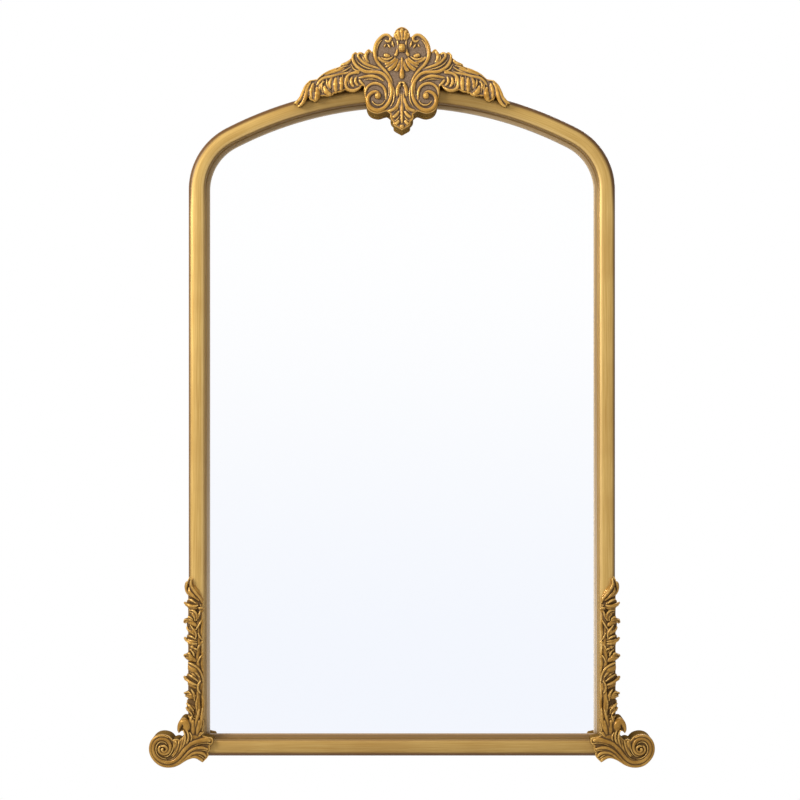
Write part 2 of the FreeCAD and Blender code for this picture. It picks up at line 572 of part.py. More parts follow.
def dowels(grow):
    """One dowel across the crown joint and one up each spring-line joint."""
    inset = MOULDING_WIDTH * DOWEL_INSET_SHARE
    depth = MOULDING_DEPTH * DOWEL_DEPTH_SHARE
    radius = DOWEL_DIAMETER / 2 + grow
    length = DOWEL_LENGTH + 2 * grow
    crown = Part.makeCylinder(radius, length, at(-length / 2, depth, CROWN_TOP_Z - inset), ACROSS)
    side = Part.makeCylinder(radius, length, at(HALF_WIDTH - inset, depth, SPRING_Z - length / 2), UP)
    return [crown, side, mirrored(side)]


def sunk_screw(x, z, seat, length, grow):
    """Countersunk screw whose flat head lies at a depth; grown, it cuts its own hole."""
    head = SUNK_HEAD_DIAMETER / 2 + grow
    shank = SCREW_DIAMETER / 2 + grow
    cone = Part.makeCone(head, shank, head - shank, at(x, seat, z), FRONT)
    rod = Part.makeCylinder(shank, length + grow, at(x, seat, z), FRONT)
    screw = cone.fuse(rod)
    if grow:
        screw = screw.fuse(Part.makeCylinder(head, OVERRUN, at(x, seat - OVERRUN, z), FRONT))
    return screw.removeSplitter()


def pan_screw(x, z, seat):
    """Screw with a rounded head whose underside lies at a depth."""
    top = at(x, seat - PAN_HEAD_HEIGHT, z)
    head = Part.makeCylinder(PAN_HEAD_DIAMETER / 2, PAN_HEAD_HEIGHT, top, FRONT)
    head = head.makeFillet(PAN_HEAD_ROUND, [rim_at(head, top.y)])
    return head.fuse(Part.makeCylinder(SCREW_DIAMETER / 2, PAN_SCREW_LENGTH, at(x, seat, z), FRONT))


def pan_hole(x, z, seat):
    radius = SCREW_DIAMETER / 2 + SCREW_CLEARANCE
    return Part.makeCylinder(radius, PAN_SCREW_LENGTH + SCREW_CLEARANCE, at(x, seat, z), FRONT)


# Corner plates

def plate_screw_places():
    """Places on the right corner plate: two along each arm."""
    middle = PLATE_INSET + PLATE_WIDTH / 2
    reaches = [PLATE_INSET + PLATE_ARM * share for share in PLATE_HOLE_SHARES]
    up_stile = [(HALF_WIDTH - middle, FOOT_Z + reach) for reach in reaches]
    along_rail = [(HALF_WIDTH - reach, FOOT_Z + middle) for reach in reaches]
    return up_stile + along_rail


def corner_plate_right():
    """Flat steel angle over the mitre, with countersunk holes."""
    side = HALF_WIDTH - PLATE_INSET
    low = FOOT_Z + PLATE_INSET
    corners = [
        (side, low),
        (side, low + PLATE_ARM),
        (side - PLATE_WIDTH, low + PLATE_ARM),
        (side - PLATE_WIDTH, low + PLATE_WIDTH),
        (side - PLATE_ARM, low + PLATE_WIDTH),
        (side - PLATE_ARM, low),
    ]
    plate = prism(polygon([flat(x, z) for x, z in corners]), -PLATE_THICKNESS, 0)
    plate = plate.makeFillet(PLATE_ROUND, depth_edges(plate))
    holes = [plate_screw(x, z, SCREW_CLEARANCE) for x, z in plate_screw_places()]
    return plate.cut(Part.makeCompound(holes))


def plate_screw(x, z, grow):
    return sunk_screw(x, z, -PLATE_THICKNESS, PLATE_SCREW_LENGTH, grow)


# Turn buttons

def button_places():
    """Name, pivot x, pivot z and the direction in which each button reaches over the board."""
    side = HALF_WIDTH - BUTTON_PIVOT_INSET
    low = FOOT_Z + BUTTON_LOW_HEIGHT
    high = FOOT_Z + BUTTON_HIGH_HEIGHT
    rail = FOOT_Z + BUTTON_PIVOT_INSET
    crown = QUARTER_TURN - BUTTON_CROWN_ANGLE
    crown_x, crown_z = polar((0, CROWN_Z), CROWN_RADIUS - BUTTON_PIVOT_INSET, crown)
    return [
        ("left_low", -side, low, 0),
        ("left_high", -side, high, 0),
        ("right_low", side, low, HALF_TURN),
        ("right_high", side, high, HALF_TURN),
        ("bottom_left", -BUTTON_RAIL_OFFSET, rail, QUARTER_TURN),
        ("bottom_right", BUTTON_RAIL_OFFSET, rail, QUARTER_TURN),
        ("top_left", -crown_x, crown_z, -crown),
        ("top_right", crown_x, crown_z, crown - HALF_TURN),
    ]


def turn_button(x, z, degrees):
    """Round-ended steel strip on its pivot, reaching over the board."""
    radius = BUTTON_WIDTH / 2
    reach = BUTTON_LENGTH - BUTTON_WIDTH
    upper = [polar((0, 0), radius, QUARTER_TURN), polar((reach, 0), radius, QUARTER_TURN)]
    lower = [polar((reach, 0), radius, -QUARTER_TURN), polar((0, 0), radius, -QUARTER_TURN)]
    edges = [
        line(flat(*upper[0]), flat(*upper[1])),
        arc(flat, (reach, 0), radius, QUARTER_TURN, -QUARTER_TURN),
        line(flat(*lower[0]), flat(*lower[1])),
        arc(flat, (0, 0), radius, -QUARTER_TURN, -QUARTER_TURN - HALF_TURN),
    ]
    strip = prism(edges, -BUTTON_FLOAT - BUTTON_THICKNESS, -BUTTON_FLOAT)
    bore = SCREW_DIAMETER / 2 + BUTTON_FIT
    strip = strip.cut(Part.makeCylinder(bore, 2 * OVERRUN, at(0, -OVERRUN, 0), FRONT))
    strip.rotate(MIDDLE, FRONT, degrees)
    strip.translate(Vector(x, 0, z))
    return strip


def button_seat():
    """Depth of the pivot screws' heads, clear of the buttons."""
    return -(BUTTON_FLOAT + BUTTON_THICKNESS + BUTTON_FLOAT)


# Hangers

def strap_screw_places():
    across = HALF_WIDTH - STILE_BACK_MIDDLE
    pivot = FOOT_Z + HANGER_HEIGHT
    return [(across, pivot - STRAP_LENGTH * share) for share in STRAP_HOLE_SHARES]


def strap_right():
    """Steel strap screwed to the stile, its upper end curled round the ring's bar."""
    x = HALF_WIDTH - STILE_BACK_MIDDLE - STRAP_WIDTH / 2
    pivot = Vector(x, PIVOT_Y, FOOT_Z + HANGER_HEIGHT)
    leaf = Part.makeBox(STRAP_WIDTH, STRAP_THICKNESS, STRAP_LENGTH,
                        Vector(x, BACK_Y, pivot.z - STRAP_LENGTH))
    low = [edge for edge in depth_edges(leaf) if edge.CenterOfMass.z < pivot.z - STRAP_LENGTH / 2]
    leaf = leaf.makeFillet(STRAP_ROUND, low)
    curl = Part.makeCylinder(LOOP_OUTER, STRAP_WIDTH, pivot, ACROSS)
    bore = Part.makeCylinder(LOOP_BORE, STRAP_WIDTH, pivot, ACROSS)
    holes = [pan_hole(place_x, place_z, -OVERRUN) for place_x, place_z in strap_screw_places()]
    return leaf.fuse(curl).cut(Part.makeCompound([bore] + holes)).removeSplitter()


def ring_right():
    """Wire ring: a straight bar in the strap, two legs and a round top where a hook bears."""
    x = HALF_WIDTH - STILE_BACK_MIDDLE
    bar = FOOT_Z + HANGER_HEIGHT
    side = RING_HALF_WIDTH
    bend = side - RING_BEND

    def wire_point(across, up):
        return Vector(x + across, PIVOT_Y, bar + up)

    path = [
        line(wire_point(0, 0), wire_point(bend, 0)),
        arc(wire_point, (bend, RING_BEND), RING_BEND, -QUARTER_TURN, 0),
        line(wire_point(side, RING_BEND), wire_point(side, RING_LEG)),
        arc(wire_point, (0, RING_LEG), side, 0, QUARTER_TURN),
    ]
    section = Part.Wire(Part.makeCircle(RING_RADIUS, wire_point(0, 0), ACROSS))
    half = Part.Wire(path).makePipeShell([section], True, False)
    other = half.mirror(wire_point(0, 0), ACROSS)
    return half.fuse(other).removeSplitter()


# Bumpers

def bumper_right():
    """Soft round foot with an eased rim on the wall side."""
    centre = at(HALF_WIDTH - STILE_BACK_MIDDLE, -BUMPER_THICKNESS, FOOT_Z + BUMPER_HEIGHT)
    foot = Part.makeCylinder(BUMPER_DIAMETER / 2, BUMPER_THICKNESS, centre, FRONT)
    return foot.makeFillet(BUMPER_ROUND, [rim_at(foot, 0)])


# Castings

def ridge_section(point, side, half_width, root):
    """Arched section of a ridge: straight flanks below, a round back above."""
    left = point - side * half_width
    right = point + side * half_width
    top = point + FRONT * (half_width * RELIEF_SHARE)
    deep = FRONT * -root
    edges = [
        line(left + deep, left),
        Part.Arc(left, top, right).toShape(),
        line(right, right + deep),
        line(right + deep, left + deep),
    ]
    return Part.Wire(edges)


def width_along(shares, along):
    """Width between start, middle and end, drawn in to a rounded tip at both ends."""
    if along < 0.5:
        width = shares[0] + (shares[1] - shares[0]) * along * 2
    else:
        width = shares[1] + (shares[2] - shares[1]) * (along * 2 - 1)
    near_end = min(along, 1 - along)
    if near_end < RIDGE_END_SHARE:
        rest = 1 - near_end / RIDGE_END_SHARE
        width *= RIDGE_TIP_SHARE + (1 - RIDGE_TIP_SHARE) * math.sqrt(1 - rest ** 2)
    return width


def stations(path, points):
    """Parameters of a line's own points, with more between them where the points are few."""
    marks = [path.parameter(point) for point in points]
    steps = math.ceil(LEAST_STATIONS / (len(points) - 1))
    between = []
    for start, end in zip(marks, marks[1:]):
        between += [start + (end - start) * step / steps for step in range(steps)]
    return between + [marks[-1]]


def ridge(points, width_shares, full_width, root):
    """Carved ridge lofted along one smooth line through its points."""
    path = Part.BSplineCurve()
    path.interpolate(points)
    sections = []
    for parameter in stations(path, points):
        along = (parameter - path.FirstParameter) / (path.LastParameter - path.FirstParameter)
        heading = path.tangent(parameter)[0]
        side = heading.cross(FRONT).normalize()
        half_width = full_width * width_along(width_shares, along) / 2
        sections.append(ridge_section(path.value(parameter), side, half_width, root))
    return Part.makeLoft(sections, True, False)


def joined(base, pieces):
    """Base with pieces fused on, in batches of pieces whose boxes lie apart."""
    batches = []
    for piece in pieces:
        for batch in batches:
            if not any(piece.BoundBox.intersect(other.BoundBox) for other in batch):
                batch.append(piece)
                break
        else:
            batches.append([piece])
    for batch in batches:
        base = base.multiFuse(batch)
    return base


def ridges_on(place, table, full_width, root):
    """Ridges of one table of shares, placed on a casting's ground."""
    lines = [([place(*point) for point in points], widths) for widths, points in table]
    return [ridge(points, widths, full_width, root) for points, widths in lines]


def outline_edges(runs, place):
    return [smooth([place(*point) for point in run]) for run in runs]


def crest_point(across, up):
    """Point of the crest's ground from its shares."""
    height = CROWN_TOP_Z + CREST_HEIGHT * (up - CREST_SEAT_SHARE)
    return at(CREST_HALF_SPAN * across, CREST_GROUND, height)


def crest_flat(across, up):
    point = crest_point(across, up)
    return flat(point.x, point.z)


def crown_seat():
    """Crown of the frame grown by the glue line, over the width of the crest."""
    reach = math.degrees(math.asin((CREST_HALF_SPAN + OVERRUN) / CROWN_RADIUS))
    face = grown_face(around(0, CROWN_Z, CROWN_RADIUS, QUARTER_TURN - reach), GLUE_LINE)
    return turned(face, 0, CROWN_Z, 2 * reach)


def crest_half():
    """Right half of the crest: its ground and the ridges carved on it."""
    edges = outline_edges(CREST_OUTLINE_SHARES, crest_flat)
    foot = CREST_OUTLINE_SHARES[-1][-1]
    edges.append(line(crest_flat(*foot), crest_flat(*CREST_OUTLINE_SHARES[0][0])))
    ground = prism(edges, CREST_BACK, CREST_GROUND)
    return joined(ground, ridges_on(crest_point, CREST_RIDGE_SHARES, CREST_RIDGE, RIDGE_ROOT))


def crest_screw_places():
    places = []
    for degrees in CREST_SCREW_ANGLES:
        for side in (-degrees, degrees):
            places.append(polar((0, CROWN_Z), CROWN_RADIUS - CREST_SCREW_INSET, QUARTER_TURN + side))
    return places


def crest():
    """Both halves and the centre ridges in one casting, seated on the crown."""
    half = crest_half()
    centre = ridges_on(crest_point, CREST_CENTRE_SHARES, CREST_RIDGE, RIDGE_ROOT)
    whole = half.fuse(mirrored(half)).multiFuse(centre)
    holes = [casting_screw(x, z, SCREW_CLEARANCE) for x, z in crest_screw_places()]
    return whole.cut(Part.makeCompound([crown_seat()] + holes))


def casting_screw(x, z, grow):
    """Screw from the frame's back, through the moulding and into a casting."""
    return sunk_screw(x, z, 0, MOULDING_DEPTH + GLUE_LINE + CASTING_SCREW_BITE, grow)


def scroll_point(outward, up):
    """Point of the right scroll's ground from its shares."""
    return at(HALF_WIDTH + SCROLL_UNIT * outward, SCROLL_GROUND, FOOT_Z + SCROLL_UNIT * up)


def scroll_flat(outward, up):
    point = scroll_point(outward, up)
    return flat(point.x, point.z)


def corner_seat():
    """Foot of the stile and end of the rail, grown by the glue line."""
    height = SPRAY_FOOT + SPRAY_LENGTH + OVERRUN
    stile = grown_face(on_stile(FOOT_Z - GLUE_LINE), GLUE_LINE).extrude(UP * height)
    rail = grown_face(on_rail(0), GLUE_LINE).extrude(ACROSS * (HALF_WIDTH + GLUE_LINE))
    return stile.cut(stile_waste()).fuse(rail.cut(rail_waste()))


def scroll_screw_places():
    """One screw up the stile and one along the rail, on the right."""
    return [
        (HALF_WIDTH - SCROLL_SCREW_INSET, FOOT_Z + SCROLL_SCREW_REACH),
        (HALF_WIDTH - SCROLL_SCREW_REACH, FOOT_Z + SCROLL_SCREW_INSET),
    ]


def scroll_right():
    """Volute, flared lobes and hook leaf in one casting round the corner."""
    ground = prism(outline_edges(SCROLL_OUTLINE_SHARES, scroll_flat), SCROLL_BACK, SCROLL_GROUND)
    ridges = ridges_on(scroll_point, SCROLL_RIDGE_SHARES, SCROLL_RIDGE, RIDGE_ROOT)
    holes = [casting_screw(x, z, SCREW_CLEARANCE) for x, z in scroll_screw_places()]
    return joined(ground, ridges).cut(Part.makeCompound([corner_seat()] + holes))


def skin_depth(across):
    """Depth of the spray's leaves at a distance from the outer edge, curling back past the roll."""
    fall = max(OUTER_ROLL - across, 0)
    return MOULDING_DEPTH + SPRAY_LIFT - SPRAY_CURL_SHARE * fall ** 2 / OUTER_ROLL


def spray_point(across, up):
    """Point of the right spray on the moulding's front, from its shares."""
    inset = MOULDING_WIDTH * across
    return at(HALF_WIDTH - inset, skin_depth(inset), FOOT_Z + SPRAY_FOOT + SPRAY_LENGTH * up)


def spray_flat(across, up):
    point = spray_point(across, up)
    return flat(point.x, point.z)


def spray_skin():
    """Thin ground of the spray, bent over the moulding and trimmed to the leaf's outline."""
    height = SPRAY_FOOT + SPRAY_LENGTH
    sheet = grown_face(on_stile(FOOT_Z), GLUE_LINE + SPRAY_SKIN).extrude(UP * height)
    front = MOULDING_DEPTH + SPRAY_SKIN + OVERRUN
    trim = prism(outline_edges(SPRAY_OUTLINE_SHARES, spray_flat), front - SPRAY_ROOT - OVERRUN, front)
    return sheet.common(trim)


def spray_right():
    """Stem, outward lobes and flame leaf on the right stile."""
    ridges = ridges_on(spray_point, SPRAY_RIDGE_SHARES, SPRAY_RIDGE, SPRAY_ROOT)
    return joined(spray_skin(), ridges).cut(corner_seat())


# Whole mirror

def both_sides(name, shape):
    """Nodes of a pair: the right piece and its mirror image."""
    return {name + "_right": shape, name + "_left": mirrored(shape)}


def frame_holes():
    """Everything that is drilled in the frame's five pieces."""
    right = [plate_screw(x, z, SCREW_CLEARANCE) for x, z in plate_screw_places()]
    right += [casting_screw(x, z, SCREW_CLEARANCE) for x, z in scroll_screw_places()]
    right += [pan_hole(x, z, -STRAP_THICKNESS) for x, z in strap_screw_places()]
    holes = right + [mirrored(hole) for hole in right]
    holes += [casting_screw(x, z, SCREW_CLEARANCE) for x, z in crest_screw_places()]
    holes += [pan_hole(x, z, button_seat()) for name, x, z, turn in button_places()]
    return Part.makeCompound(holes + dowels(DOWEL_CLEARANCE))


def frame_pieces():
    """Stiles, arch halves and rail, drilled."""
    pieces = both_sides("frame_stile", stile_right())
    pieces.update(both_sides("frame_arch", arch_right()))
    pieces["frame_bottom_rail"] = bottom_rail()
    holes = frame_holes()
    return {name: piece.cut(holes) for name, piece in pieces.items()}


def fasteners():
    """Dowels and screws, each kind a group of separate solids."""
    plate = [plate_screw(x, z, 0) for x, z in plate_screw_places()]
    scroll = [casting_screw(x, z, 0) for x, z in scroll_screw_places()]
    strap = [pan_screw(x, z, -STRAP_THICKNESS) for x, z in strap_screw_places()]
    crest_screws = [casting_screw(x, z, 0) for x, z in crest_screw_places()]
    buttons = [pan_screw(x, z, button_seat()) for name, x, z, turn in button_places()]
    groups = {
        "joint_dowels": dowels(0),
        "corner_plate_screws": plate + [mirrored(screw) for screw in plate],
        "casting_screws": crest_screws + scroll + [mirrored(screw) for screw in scroll],
        "hanger_screws": strap + [mirrored(screw) for screw in strap],
        "turn_button_screws": buttons,
    }
    return {name: Part.makeCompound(solids) for name, solids in groups.items()}


def mirror_pieces():
    pieces = frame_pieces()
    pieces.update(backing())
    pieces.update(fasteners())
    pieces.update(both_sides("corner_plate", corner_plate_right()))
    pieces.update(both_sides("hanger_strap", strap_right()))
    pieces.update(both_sides("hanger_ring", ring_right()))
    bumper = bumper_right()
    pieces["wall_bumpers"] = Part.makeCompound([bumper, mirrored(bumper)])
    for name, x, z, turn in button_places():
        pieces["turn_button_" + name] = turn_button(x, z, turn)
    pieces["crest_casting"] = crest()
    pieces.update(both_sides("corner_scroll", scroll_right()))
    pieces.update(both_sides("leaf_spray", spray_right()))
    return pieces


os.makedirs("parts", exist_ok=True)
for node, shape in mirror_pieces().items():
    shape.exportStep("parts/" + node + ".step")
    print(node, "solids", len(shape.Solids), "volume", round(shape.Volume), "valid", shape.isValid())
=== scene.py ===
# %% [markdown]
# This lesson dresses an arched wall mirror. The solids of its frame, castings, glass and back come
# in first as a fixed frame, in metres, and stay where they are. Everything that follows either
# gives one of them a finish or puts a finer piece in the place of one.

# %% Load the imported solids
import math

import bpy
import numpy as np
from mathutils import Matrix, Vector


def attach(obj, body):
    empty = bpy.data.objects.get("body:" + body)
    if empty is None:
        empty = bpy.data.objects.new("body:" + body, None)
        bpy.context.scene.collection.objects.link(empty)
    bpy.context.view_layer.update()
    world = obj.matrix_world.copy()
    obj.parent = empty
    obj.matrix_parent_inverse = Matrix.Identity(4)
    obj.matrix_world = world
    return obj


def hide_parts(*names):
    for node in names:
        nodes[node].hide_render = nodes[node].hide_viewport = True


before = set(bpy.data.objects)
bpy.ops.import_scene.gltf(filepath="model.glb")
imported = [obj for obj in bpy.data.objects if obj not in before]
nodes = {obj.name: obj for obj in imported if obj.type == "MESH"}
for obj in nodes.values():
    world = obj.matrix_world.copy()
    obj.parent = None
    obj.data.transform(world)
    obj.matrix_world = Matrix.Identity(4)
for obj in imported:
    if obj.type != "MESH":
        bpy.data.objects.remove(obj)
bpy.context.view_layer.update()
MM = 0.001

# %% [markdown]
# Operators act on whatever is selected, so a few small helpers keep that in hand: they select one
# object alone, enter edit mode with all of it selected, and leave again. A last one reads where the
# points of a mesh lie, here first to measure the glass.


# %% Helpers for selecting and editing
def only(piece):
    """Selects one object alone and makes it active."""
    bpy.ops.object.select_all(action="DESELECT")
    piece.select_set(True)
    bpy.context.view_layer.objects.active = piece


def edit_all(piece):
    """Enters edit mode with everything selected."""
    only(piece)
    bpy.ops.object.mode_set(mode="EDIT")
    bpy.ops.mesh.select_all(action="SELECT")


def leave_edit():
    bpy.ops.object.mode_set(mode="OBJECT")


def coordinates(mesh):
    """Vertex positions as an array, in millimetres."""
    flat = np.empty(len(mesh.vertices) * 3)
    mesh.vertices.foreach_get("co", flat)
    return flat.reshape(-1, 3) / MM


glass = coordinates(nodes["mirror_glass"].data)
print("glass size in mm", (glass.max(0) - glass.min(0)).round(1))

# %% [markdown]
# The moulding is drawn as a section: a rounded side, a broad face, a second roll and a low lip in
# front of the glass, with a rabbet cut behind. Each arc is tangent to the next, so the light runs
# across it in one soft band. A bevelled bar would be quicker, but its flats would show. The points
# go round the section once.

# %% Moulding section
HALF_WIDTH = 262.5
MOULDING = 25.0
BODY = 20.5
OUTER_ROLL, FACE_RADIUS, INNER_ROLL, LIP_ROLL = 7.0, 22.0, 5.0, 1.5
LIP_FRONT, RABBET_DEPTH, RABBET_WIDTH = 12.0, 8.0, 6.0
FACE_CENTRE, QUIRK_ROLL = 0.512, 1.0
BACK_Y = -6.0


def at(x, depth, z):
    """Point at a depth in front of the frame's back, from millimetres."""
    return Vector((x, BACK_Y - depth, z)) * MM


def arc_points(centre, radius, start, end, steps):
    turns = [math.radians(start + (end - start) * step / steps) for step in range(steps + 1)]
    return [(centre[0] + radius * math.cos(t), centre[1] + radius * math.sin(t)) for t in turns]


def moulding_section():
    """Points across and forward, from the back's outer edge over the front to the rabbet."""
    face = (BODY * FACE_CENTRE, MOULDING - FACE_RADIUS)
    inner_across = BODY - INNER_ROLL
    outer_rise = math.sqrt((FACE_RADIUS - OUTER_ROLL) ** 2 - (face[0] - OUTER_ROLL) ** 2)
    inner_rise = math.sqrt((FACE_RADIUS - INNER_ROLL) ** 2 - (inner_across - face[0]) ** 2)
    outer = (OUTER_ROLL, face[1] + outer_rise)
    inner = (inner_across, face[1] + inner_rise)
    outer_turn = math.degrees(math.atan2(outer_rise, outer[0] - face[0]))
    inner_turn = math.degrees(math.atan2(inner_rise, inner[0] - face[0]))
    lip = (MOULDING - LIP_ROLL, LIP_FRONT - LIP_ROLL)
    points = [(0, 0)]
    points += arc_points(outer, OUTER_ROLL, 180, outer_turn, 12)
    points += arc_points(face, FACE_RADIUS, outer_turn, inner_turn, 14)[1:]
    points += arc_points(inner, INNER_ROLL, inner_turn, 0, 10)[1:]
    points += arc_points((BODY + QUIRK_ROLL, LIP_FRONT + QUIRK_ROLL), QUIRK_ROLL, 180, 270, 3)
    points += arc_points(lip, LIP_ROLL, 90, 0, 5)
    rabbet_side = MOULDING - RABBET_WIDTH
    points += [(MOULDING, RABBET_DEPTH), (rabbet_side, RABBET_DEPTH), (rabbet_side, 0)]
    return points


section = moulding_section()
print("section points", len(section))

# %% [markdown]
# A frame maker runs the moulding in lengths and bends the arch. Here a circle with as many points
# as the section is laid out as that section, then pulled straight up for a stile, along for the
# rail, and spun round two centres for an arch half. A bisect cuts each mitre.

# %% Sizes of the frame's outline
FOOT_Z, SPRING_Z = -618.75, 78.25
SHOULDER_X, SHOULDER_RADIUS = 177.5, 85.0
CROWN_RADIUS = 472.0
CROWN_Z = SPRING_Z - math.sqrt((CROWN_RADIUS - SHOULDER_RADIUS) ** 2 - SHOULDER_X ** 2)
SHOULDER_TURN = math.acos(SHOULDER_X / (CROWN_RADIUS - SHOULDER_RADIUS))
AWAY_FROM_VIEWER = (0, 1, 0)
print("crown centre", round(CROWN_Z, 2), "shoulder turn", round(math.degrees(SHOULDER_TURN), 2))


# %% Lay out the section and close a finished length
SHARP_FROM = math.radians(32)


def section_loop(name, place):
    """Closed loop of edges with the shape of the section."""
    bpy.ops.object.select_all(action="DESELECT")
    bpy.ops.mesh.primitive_circle_add(vertices=len(section), radius=MOULDING * MM)
    loop = bpy.context.object
    loop.name = name
    for vertex, (across, depth) in zip(loop.data.vertices, section):
        vertex.co = place(across, depth)
    edit_all(loop)
    return loop


def closed():
    """Caps the open ends of the edited length, turns its faces outward and smooths its rolls."""
    bpy.ops.mesh.select_all(action="SELECT")
    bpy.ops.mesh.fill_holes(sides=0)
    bpy.ops.mesh.select_all(action="SELECT")
    bpy.ops.mesh.normals_make_consistent(inside=False)
    leave_edit()
    bpy.ops.object.shade_smooth_by_angle(angle=SHARP_FROM)


def mitre(x, normal):
    """Cuts the length off through the frame's bottom corner."""
    bpy.ops.mesh.select_all(action="SELECT")
    bpy.ops.mesh.bisect(plane_co=at(x, 0, FOOT_Z), plane_no=normal, use_fill=True, clear_outer=True)


# %% Stile, rail and arch half
SHOULDER_STEPS, CROWN_STEPS = 26, 30
stile = section_loop("moulding_stile_right", lambda across, depth: at(HALF_WIDTH - across, depth, FOOT_Z))
bpy.ops.mesh.extrude_edges_move(TRANSFORM_OT_translate={"value": (0, 0, (SPRING_Z - FOOT_Z) * MM)})
mitre(HALF_WIDTH, (-1, 0, -1))
closed()

rail = section_loop("moulding_rail", lambda across, depth: at(-HALF_WIDTH, depth, FOOT_Z + across))
bpy.ops.mesh.extrude_edges_move(TRANSFORM_OT_translate={"value": (2 * HALF_WIDTH * MM, 0, 0)})
mitre(HALF_WIDTH, (1, 0, 1))
mitre(-HALF_WIDTH, (-1, 0, 1))
closed()

arch = section_loop("moulding_arch_right", lambda across, depth: at(HALF_WIDTH - across, depth, SPRING_Z))
bpy.ops.mesh.spin(steps=SHOULDER_STEPS, angle=SHOULDER_TURN, center=at(SHOULDER_X, 0, SPRING_Z),
                  axis=AWAY_FROM_VIEWER)
bpy.ops.mesh.spin(steps=CROWN_STEPS, angle=math.pi / 2 - SHOULDER_TURN, center=at(0, 0, CROWN_Z),
                  axis=AWAY_FROM_VIEWER)
closed()
for length in (stile, rail, arch):
    points = coordinates(length.data)
    print(length.name, points.min(0).round(1), points.max(0).round(1))


# %% [markdown]
# The gilding runs along the moulding, round the bend as well, so every vertex keeps two numbers:
# how far in it lies from the outer edge and how far along the frame. The finish reads those
# instead of plain coordinates, and its brushing then follows the arch.

# %% Numbers that follow the frame
def store(mesh, name, values):
    """Keeps one number per vertex on the mesh, for a finish to read."""
    attribute = mesh.attributes.new(name, "FLOAT", "POINT")
    attribute.data.foreach_set("value", np.ascontiguousarray(values, dtype=np.float32))


def arch_lines(points):
    """Distance in from the outer edge and along the frame, for stiles and arch."""
    x, z = np.abs(points[:, 0]), points[:, 2]
    inset = HALF_WIDTH - x
    along = z - FOOT_Z
    from_shoulder = np.hypot(x - SHOULDER_X, z - SPRING_Z)
    from_crown = np.hypot(x, z - CROWN_Z)
    bent = z > SPRING_Z
    turn = np.arctan2(z - SPRING_Z, x - SHOULDER_X)
    inset = np.where(bent, SHOULDER_RADIUS - from_shoulder, inset)
    along = np.where(bent, SPRING_Z - FOOT_Z + SHOULDER_RADIUS * turn, along)
    crown = bent & (z - CROWN_Z > math.tan(SHOULDER_TURN) * x)
    over = np.arctan2(z - CROWN_Z, x) - SHOULDER_TURN
    inset = np.where(crown, CROWN_RADIUS - from_crown, inset)
    shoulder_end = SPRING_Z - FOOT_Z + SHOULDER_RADIUS * SHOULDER_TURN
    return inset, np.where(crown, shoulder_end + CROWN_RADIUS * over, along)


for length in (stile, arch):
    inset, along = arch_lines(coordinates(length.data))
    store(length.data, "inset", inset)
    store(length.data, "along", along)
points = coordinates(rail.data)
store(rail.data, "inset", points[:, 2] - FOOT_Z)
store(rail.data, "along", points[:, 0])
print("insets", round(float(inset.min()), 2), round(float(inset.max()), 2))

# %% [markdown]
# A finish is a small tree of shader nodes. Writing each node by hand is slow to read, so one class
# wraps a socket: sums and products on it add Math nodes, and one method adds any other node. A second
# class holds a material and the few nodes that every finish here needs.


# %% A socket that sums can be written with
class Tone:
    """One output of a finish under construction."""

    def __init__(self, tree, socket):
        self.tree = tree
        self.socket = socket

    def node(self, kind, settings=None, sockets=None, output=0):
        """Adds a node: its settings first, then the values or links of its sockets."""
        made = self.tree.nodes.new(kind)
        for name, value in (settings or {}).items():
            setattr(made, name, value)
        for key, value in (sockets or {}).items():
            if isinstance(value, Tone):
                self.tree.links.new(value.socket, made.inputs[key])
            else:
                made.inputs[key].default_value = value
        return Tone(self.tree, made.outputs[output])

    def sum(self, operation, first, second):
        return self.node("ShaderNodeMath", {"operation": operation}, {0: first, 1: second})

    def __add__(self, other):
        return self.sum("ADD", self, other)

    __radd__ = __add__

    def __sub__(self, other):
        return self.sum("SUBTRACT", self, other)

    def __rsub__(self, other):
        return self.sum("SUBTRACT", other, self)

    def __mul__(self, other):
        return self.sum("MULTIPLY", self, other)

    __rmul__ = __mul__

    def between(self, low, high):
        """0 at low, 1 at high, eased in between."""
        settings = {"interpolation_type": "SMOOTHSTEP"}
        return self.node("ShaderNodeMapRange", settings, {"Value": self, "From Min": low, "From Max": high})

    def mix(self, first, second):
        """First colour where this mask is 0, second where it is 1."""
        return self.node("ShaderNodeMix", {"data_type": "RGBA"}, {0: self, 6: first, 7: second}, output=2)


# %% A finish and its colours
class Finish:
    """A material with one Principled shader."""

    def __init__(self, name, **constants):
        self.material = bpy.data.materials.new(name)
        self.material.use_nodes = True
        self.tree = self.material.node_tree
        self.shader = self.tree.nodes["Principled BSDF"]
        for socket, value in constants.items():
            self.shader.inputs[socket.replace("_", " ")].default_value = value
        self.start = Tone(self.tree, None)

    def place(self):
        """Where a point lies in the mirror's own frame, in metres."""
        return self.start.node("ShaderNodeTexCoord", output=3)

    def axis(self, vector, index):
        return self.start.node("ShaderNodeSeparateXYZ", None, {0: vector}, output=index)

    def kept(self, name):
        """A number kept on the mesh."""
        settings = {"attribute_name": name, "attribute_type": "GEOMETRY"}
        return self.start.node("ShaderNodeAttribute", settings, output=2)

    def noise(self, vector, scale, detail=3.0, roughness=0.55):
        sockets = {"Vector": vector, "Scale": scale, "Detail": detail, "Roughness": roughness}
        return self.start.node("ShaderNodeTexNoise", {"noise_dimensions": "3D"}, sockets)

    def stretched(self, vector, scale):
        """Coordinates pulled by a different amount along each axis."""
        return self.start.node("ShaderNodeMapping", None, {"Vector": vector, "Scale": scale})

    def feed(self, socket, tone):
        self.tree.links.new(tone.socket, self.shader.inputs[socket])

    def bump(self, height, strength, distance):
        sockets = {"Height": height, "Strength": strength, "Distance": distance}
        self.feed("Normal", self.start.node("ShaderNodeBump", None, sockets))


